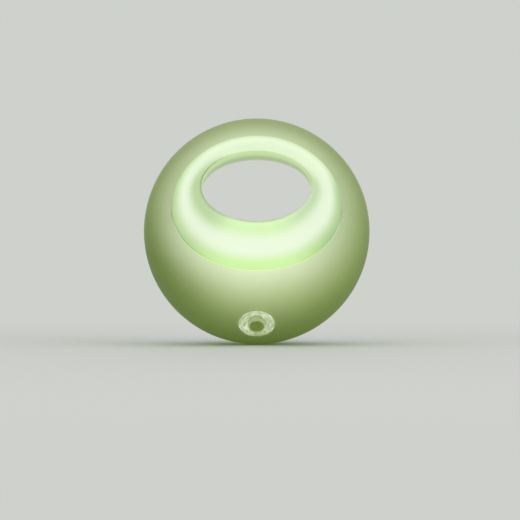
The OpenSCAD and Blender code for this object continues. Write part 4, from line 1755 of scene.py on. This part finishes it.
@dataclass(frozen=True)
class Plug:
    """The two-pin plug: its body, pins and sleeves."""

    ball: Ball
    width: float = 35.3
    height: float = 13.7
    flat_w: float = 26.1
    pitch: float = 18.6
    pin_d: float = 4.0
    pin_l: float = 19.0
    nose: float = 1.0
    pin_edge: float = 0.12
    sleeve_l: float = 10.0
    sleeve_d: float = 3.6
    sleeve_seat: float = 1.5
    sleeve_edge: float = 0.2
    sleeve_soft: float = 0.06
    sleeve_gap: float = 0.02
    core_d: float = 2.8
    shoulder_d: float = 5.6
    shoulder_t: float = 1.5
    tail_d: float = 2.0
    tail_end: float = -26.8
    root: float = -21.2
    ear_w: float = 2.0
    ear_t: float = 2.0
    ear_h: float = 9.0
    corner: float = 1.6
    corner_steps: int = 6
    face_share: float = 0.7
    front_edge: float = 0.8
    front_steps: int = 5
    around: int = 72
    nose_steps: int = 8

    def outline(self, grow: float, corner: float) -> list[Point]:
        """Six-sided outline with rounded corners, as (x, z) points.

        Args:
            grow: How far the outline is widened.
            corner: Size of the roundings.

        Returns:
            The points.
        """
        x, z = self.width / 2 + grow, self.height / 2 + grow
        f = self.flat_w / 2 + grow / 2
        hexagon = np.array([(x, 0.0), (f, z), (-f, z), (-x, 0.0), (-f, -z), (f, -z)])
        trios = zip(np.roll(hexagon, 1, 0), hexagon, np.roll(hexagon, -1, 0))
        return [p for trio in trios for p in soften(*trio, corner, self.corner_steps)]

    def opening(self, grow: float, start: float, end: float) -> Object:
        """Opening for the plug body in the flat back, as a tool."""
        rows = [[vec(x, y, z) for y in (start, end)] for x, z in self.outline(grow, self.corner)]
        return loft("opening", rows, (0.0, self.ball.centre[1], 0.0), True)

    def body(self) -> Object:
        """Make the plug body.

        Returns:
            The body.
        """
        full = self.outline(0.0, self.corner)
        inset = self.outline(-self.front_edge, self.corner * self.face_share)
        piece = loft("PlugBody", [
            [vec(px, self.root, pz), *rounded(vec(px, -self.front_edge, pz), vec(px, 0.0, pz),
                                              vec(qx, 0.0, qz), self.front_steps)]
            for (px, pz), (qx, qz) in zip(full, inset)
        ], capped=True)
        half, ends = self.width / 2 + self.ear_w, (0.0, self.ear_t - self.ball.slip)
        ears = loft("ears", [
            [vec(sx * half, self.root + y, sz * self.ear_h / 2) for y in ends]
            for sx, sz in ((1, -1), (1, 1), (-1, 1), (-1, -1))
        ], capped=True)
        carve(piece, [ears], "UNION")
        tools = []
        for side in (-1, 1):
            for diameter, start, end in (
                (self.core_d, self.root - OVERRUN, OVERRUN),
                (self.shoulder_d, self.root - OVERRUN, self.root + self.shoulder_t),
                (self.sleeve_d, -self.sleeve_seat, OVERRUN),
            ):
                place = vec(side * self.pitch / 2, 0.0, 0.0)
                tools += rods(diameter / 2 + self.ball.slip, [place], start, end)
        carve(piece, tools, "DIFFERENCE")
        shade(piece)
        return piece

    def turned(self, name: str, x: float, profile: Sequence[Range]) -> Object:
        """Turned piece of one pin.

        Args:
            name: The piece's name.
            x: The pin's place.
            profile: Closed outline of (radius, depth) points.

        Returns:
            The piece.
        """
        piece = lathe(name, profile, (x, 0.0, 0.0), self.around)
        shade(piece)
        return piece

    def pin_profile(self) -> list[Range]:
        """Closed outline of a pin.

        Returns:
            Its (radius, depth) points.
        """
        core, tip, tail, shoulder = (
            d / 2 for d in (self.core_d, self.pin_d, self.tail_d, self.shoulder_d)
        )
        neck, start, end = self.root + self.shoulder_t, self.sleeve_l + self.sleeve_gap, self.pin_l
        turns = [QUARTER * s for s in shares(self.nose_steps)[1:]]
        return [
            (0.0, self.tail_end), (tail, self.tail_end), (tail, self.root), (shoulder, self.root),
            (shoulder, neck), (core, neck), (core, start), (tip - self.pin_edge, start),
            (tip, start + self.pin_edge), (tip, end - self.nose),
            *[(tip + self.nose * (math.cos(t) - 1), end + self.nose * (math.sin(t) - 1))
              for t in turns],
            (0.0, end),
        ]

    def sleeve_profile(self) -> list[Range]:
        """Closed outline of a pin's sleeve.

        Returns:
            Its (radius, depth) points.
        """
        outer, inner, end = self.sleeve_d / 2, self.core_d / 2 + self.ball.slip, self.sleeve_l
        edge, soft = self.sleeve_edge, self.sleeve_soft
        return [
            (inner, -self.sleeve_seat), (outer, -self.sleeve_seat), (outer, end - edge),
            (outer - soft, end - soft), (outer - edge, end), (inner, end),
        ]

    def make(self) -> None:
        """Make and dress the plug."""
        plastic = Finish("plug_green", (150, 172, 104), (143, 166, 96), 0.4, mottle=8.0).make()
        metal = Finish("pin_metal", (206, 202, 192), (196, 191, 180), 0.24, 1.0, 3.0, 0.5,
                       0.002).make()
        enlist(self.body(), "plug_body", plastic)
        for side, word in ((-1, "live"), (1, "neutral")):
            x = side * self.pitch / 2
            pin = self.turned(word.title() + "Pin", x, self.pin_profile())
            enlist(pin, word + "_pin", metal)
            sleeve = self.turned(word.title() + "Sleeve", x, self.sleeve_profile())
            enlist(sleeve, word + "_sleeve", plastic)


@dataclass(frozen=True)
class Lamps:
    """The light-emitting diodes around the ring: a package with a cup and a die each."""

    ball: Ball
    count: int = 12
    width: float = 3.5
    height: float = 2.8
    thick: float = 1.5
    board_front: float = 0.8
    half_w: float = 23.8
    half_h: float = 16.55
    rise: float = 14.7
    cup: float = 0.5
    cup_sunk: float = 0.4
    cup_shares: Range = (0.42, 0.3)
    cup_around: int = 24
    die: tuple[float, float, float] = (0.9, 0.7, 0.25)
    die_sunk: float = 0.28

    def lamp(self, net: GeometryTree) -> NodeSocket:
        """One lamp, which faces up.

        Args:
            net: The tree.

        Returns:
            The lamp's geometry.
        """
        width, height, thick = (net.size(key) for key in ("Width", "Height", "Thickness"))
        box = net.add("MeshCube", Size=net.vector(width, height, thick), Vertices_X=4,
                      Vertices_Y=4, Vertices_Z=3)
        top, bottom = (height * share for share in self.cup_shares)
        cup = net.add("MeshCone", Vertices=self.cup_around, Depth=self.cup * MM,
                      Radius_Top=top, Radius_Bottom=bottom)
        die = net.add("MeshCube", Size=tuple(side * MM for side in self.die))
        hollow = net.cut(box, net.raised(cup, thick * 0.5 - self.cup_sunk * MM))
        return net.joined(hollow, net.raised(die, thick * 0.5 - self.die_sunk * MM))

    def make(self) -> None:
        """Make and dress the lamps."""
        net = GeometryTree("Leds", {
            "Count": self.count, "Width": self.width * MM, "Height": self.height * MM,
            "Thickness": self.thick * MM, "Half Width": self.half_w * MM,
            "Half Height": self.half_h * MM,
        })
        angle = (net.index() + 0.5) / net.size("Count") * FULL
        cx, cy, cz = self.ball.centre
        spots = net.add(
            "SetPosition", Geometry=net.add("MeshCircle", Vertices=net.size("Count")),
            Position=net.vector(net.size("Half Width") * angle.cos() + cx * MM,
                                net.size("Thickness") * -0.5 + (cy + self.board_front) * MM,
                                net.size("Half Height") * angle.sin() + (cz + self.rise) * MM),
        )
        spread = net.add("InstanceOnPoints", Points=spots, Instance=self.lamp(net),
                         Rotation=net.vector(QUARTER, -angle + QUARTER, 0.0))
        look = Finish("led_package", (242, 240, 200), (236, 232, 184), 0.3, mottle=0.8)
        piece = net.grow(spread, look.make())
        shade(piece)
        enlist(piece, "leds")


class Inside(Enum):
    """Finishes of the parts inside that keep their solids."""

    CELL_SHROUD = ("cell_shroud", "black_plastic",
                   Finish("shroud_black", (38, 38, 40), (30, 30, 33)))
    PHOTOCELL = ("photocell", "cell_ceramic",
                 Finish("cell_ceramic", (206, 128, 74), (222, 184, 140), mottle=0.8, coat=0.4))
    CELL_LEADS = ("cell_leads", "tinned_wire",
                  Finish("tinned_wire", (196, 196, 200), (182, 182, 188), 0.3, 1.0, 1.0))
    LED_BOARD = ("led_board", "white_board",
                 Finish("white_board", (226, 228, 220), (218, 221, 211), 0.32, mottle=9.0))
    REFLECTOR = ("reflector", "reflector_white",
                 Finish("reflector_white", (240, 241, 237), (234, 236, 231), 0.55, mottle=12.0))
    LED_WIRES = ("led_wires", "red_insulation",
                 Finish("red_insulation", (196, 44, 36), (182, 38, 32), 0.35, mottle=3.0))
    MAIN_BOARD = ("main_board", "green_board",
                  Finish("green_board", (40, 92, 52), (54, 110, 62), 0.28, mottle=2.2, coat=0.3))
    DROPPER = ("dropper_capacitor", "yellow_epoxy",
               Finish("yellow_epoxy", (214, 160, 44), (204, 148, 38), 0.3, mottle=4.0, coat=0.5))
    SMOOTHER = ("smoothing_capacitor", "dark_sleeve",
                Finish("dark_sleeve", (30, 34, 58), (26, 30, 50), 0.25, mottle=3.0, coat=0.5))
    BRIDGE = ("bridge_rectifier", "black_plastic",
              Finish("bridge_black", (34, 34, 36), (28, 28, 30), 0.5, mottle=1.5))
    FUSE = ("fuse_resistor", "fuse_coating",
            BandedFinish("fuse_coating", (120, 160, 142), (110, 150, 132), 0.6, mottle=1.5,
                         bands=((70, 46, 34), (24, 24, 24), (24, 24, 24), (196, 160, 80)),
                         axis=0, middle=1.68, pitch=1.5, width=0.8))
    RESISTORS = ("resistors", "resistor_coating",
                 BandedFinish("resistor_coating", (202, 176, 130), (194, 168, 122), 0.35,
                              bands=((150, 76, 32), (24, 24, 24), (210, 120, 40), (196, 160, 80)),
                              mottle=1.5, coat=0.5, middle=4.79, width=0.55))
    ZENER = ("zener_diode", "diode_glass",
             BandedFinish("diode_glass", (176, 82, 50), (160, 70, 42), 0.15, mottle=1.5,
                          bands=((20, 20, 22),), middle=0.6, width=0.7, coat=1.0))
    TRANSISTOR = ("control_transistor", "black_plastic",
                  Finish("transistor_black", (32, 32, 34), (26, 26, 28), 0.45, mottle=1.5))

    def __init__(self, node: str, slot: str, finish: Finish) -> None:
        """Keep the node's name, its slot and its finish."""
        self.node, self.slot_name, self.finish = node, slot, finish


class Electronics:
    """The parts inside: their solids stay and are smoothed and dressed."""

    def __init__(self, frame: dict) -> None:
        """Take the loaded frame."""
        self.nodes: dict[str, Object] = frame["nodes"]

    @staticmethod
    def smoothing_tree() -> NodeTree:
        """Tree that joins a solid's loose triangles and shades its round faces smoothly.

        Returns:
            The tree.
        """
        net = Net(bpy.data.node_groups.new("smooth_solid", "GeometryNodeTree"))
        for way in ("INPUT", "OUTPUT"):
            net.tree.interface.new_socket("Geometry", in_out=way, socket_type="NodeSocketGeometry")
        start = net.out("NodeGroupInput")
        merged = net.out("GeometryNodeMergeByDistance", {"Geometry": start, "Distance": MERGE_M})
        smooth = net.out("GeometryNodeSetShadeSmooth", {"Geometry": merged}, domain="FACE")
        angle = net.term("GeometryNodeInputMeshEdgeAngle", output="Unsigned Angle")
        sharp = angle.using("GREATER_THAN", SHARP_ANGLE)
        inputs = {"Geometry": smooth, "Selection": sharp, "Shade Smooth": False}
        edges = net.out("GeometryNodeSetShadeSmooth", inputs, domain="EDGE")
        net.node("NodeGroupOutput", {0: edges})
        return net.tree

    def make(self) -> None:
        """Dress every part inside."""
        smoothing = self.smoothing_tree()
        for part in Inside:
            piece = self.nodes[part.node]
            material = part.finish.make()
            if not piece.material_slots:
                piece.data.materials.append(material)
            for holder in piece.material_slots:
                holder.material = material
            piece.modifiers.new("smooth", "NODES").node_group = smoothing
            LOG.info("%s dressed", part.node)


@dataclass(frozen=True)
class Studio:
    """Pale floor, soft light and the camera."""

    target: Point
    backdrop: Colour = (206, 209, 204)
    floor: Colour = (232, 235, 230)
    floor_z: float = -19.02
    floor_half: float = 6000.0
    floor_fades: Range = (140.0, 520.0)
    floor_roughness: float = 0.9
    floor_shine: float = 0.1
    camera_at: tuple[float, float, float] = (1.1, -986.0, 9.35)
    focal_px: float = 2819.0
    sensor: float = 36.0
    clip_end: float = 20.0
    fill: float = 0.6
    lamp_size: float = 1000.0
    lamps: tuple[tuple[str, tuple[float, float, float], float], ...] = (
        ("Key", (800.0, -1000.0, 280.0), 4.0),
        ("Fill", (-700.0, -1100.0, 260.0), 2.8),
        ("Rear", (0.0, 1200.0, 450.0), 2.4),
    )

    def make_world(self) -> None:
        """Even fill light, with the backdrop's own colour where it is seen."""
        world = bpy.data.worlds.new("studio")
        bpy.context.scene.world = world
        world.use_nodes = True
        net = Net(world.node_tree)
        rays = net.node("ShaderNodeLightPath").outputs
        camera, glossy, through = (
            Term(net, rays[f"Is {kind} Ray"]) for kind in ("Camera", "Glossy", "Transmission")
        )
        seen = net.math("ADD", camera + glossy, through, clamp=True)
        fill, back = (
            net.out("ShaderNodeBackground", {"Color": colour, "Strength": strength})
            for colour, strength in (((1.0, 1.0, 1.0), self.fill), (linear(self.backdrop), 1.0))
        )
        blend = net.out("ShaderNodeMixShader", {0: seen, 1: fill, 2: back})
        net.node("ShaderNodeOutputWorld", {"Surface": blend})

    def make_floor(self) -> None:
        """Large floor whose far part takes the backdrop's colour."""
        floor = mesh_object("Floor", [
            vec(sx * self.floor_half, sy * self.floor_half, self.floor_z)
            for sx, sy in ((-1, -1), (1, -1), (1, 1), (-1, 1))
        ], [(0, 1, 2, 3)])
        surface = Surface("floor_pale")
        x, y, _ = surface.place((0.0, self.target[1], 0.0))
        far = (x.square() + y.square()).sqrt().step(*self.floor_fades)
        surface.put(Base_Color=linear(self.floor), Roughness=self.floor_roughness,
                    Specular_IOR_Level=self.floor_shine)
        glow = surface.out("ShaderNodeEmission", {"Color": linear(self.backdrop)})
        seen = surface.term("ShaderNodeLightPath", output="Is Camera Ray")
        inputs = {0: far * seen, 1: surface.shader.outputs[0], 2: glow}
        surface.feed(surface.output.inputs["Surface"], surface.out("ShaderNodeMixShader", inputs))
        floor.data.materials.append(surface.material)
        floor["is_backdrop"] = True

    def make_lamp(self, name: str, place: Point, power: float) -> None:
        """Add a soft square lamp that faces the ball.

        Args:
            name: The lamp's name.
            place: Its place in millimetres.
            power: Its power in watts.
        """
        lamp = bpy.data.lights.new(name, "AREA")
        lamp.shape, lamp.size, lamp.energy = "SQUARE", self.lamp_size * MM, power
        holder = bpy.data.objects.new(name, lamp)
        way = self.target - place
        flat = math.hypot(way[0], way[1])
        holder.location = tuple(place * MM)
        holder.rotation_euler = (math.atan2(flat, -way[2]), 0.0, math.atan2(-way[0], way[1]))
        bpy.context.scene.collection.objects.link(holder)

    def make_camera(self) -> None:
        """Level camera in front of the ball, at the photograph's angle of view."""
        data = bpy.data.cameras.new("Camera")
        data.sensor_width, data.clip_end = self.sensor, self.clip_end
        data.lens = self.focal_px * self.sensor / IMAGE_PX
        camera = bpy.data.objects.new("Camera", data)
        camera.location = tuple(c * MM for c in self.camera_at)
        camera.rotation_euler = (QUARTER, 0.0, 0.0)
        bpy.context.scene.collection.objects.link(camera)
        bpy.context.scene.camera = camera

    def make(self) -> None:
        """Set up the whole studio."""
        bpy.context.scene.view_settings.view_transform = "Standard"
        self.make_world()
        self.make_floor()
        for name, place, power in self.lamps:
            self.make_lamp(name, np.array(place), power)
        self.make_camera()


def corners(box: Iterable[Iterable[float]]) -> list[list[float]]:
    """A box's two corners as plain lists."""
    return [[float(c) for c in corner] for corner in box]


def main() -> None:
    """Build every sub-assembly around the frame."""
    logging.basicConfig(level=logging.INFO, format="%(name)s: %(message)s")
    for thing in list(bpy.data.objects):
        bpy.data.objects.remove(thing)
    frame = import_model()
    cad_box = corners(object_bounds())
    ball = Ball()
    sensor, plug = Sensor(ball), Plug(ball)
    Studio(ball.middle).make()
    Shells(ball).make(sensor, plug)
    LightRing(ball).make()
    RearCollar(ball).make()
    sensor.make()
    plug.make()
    steel = Finish("screw_steel", (176, 176, 180), (164, 164, 170), 0.32, 1.0, 1.2, 0.4).make()
    for screws in (CASE_SCREWS, BOARD_SCREWS):
        screws.make(ball, steel)
    Lamps(ball).make()
    Electronics(frame).make()
    {"cad": cad_box, "visual": corners(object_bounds())}


if __name__ == "__main__":
    main()
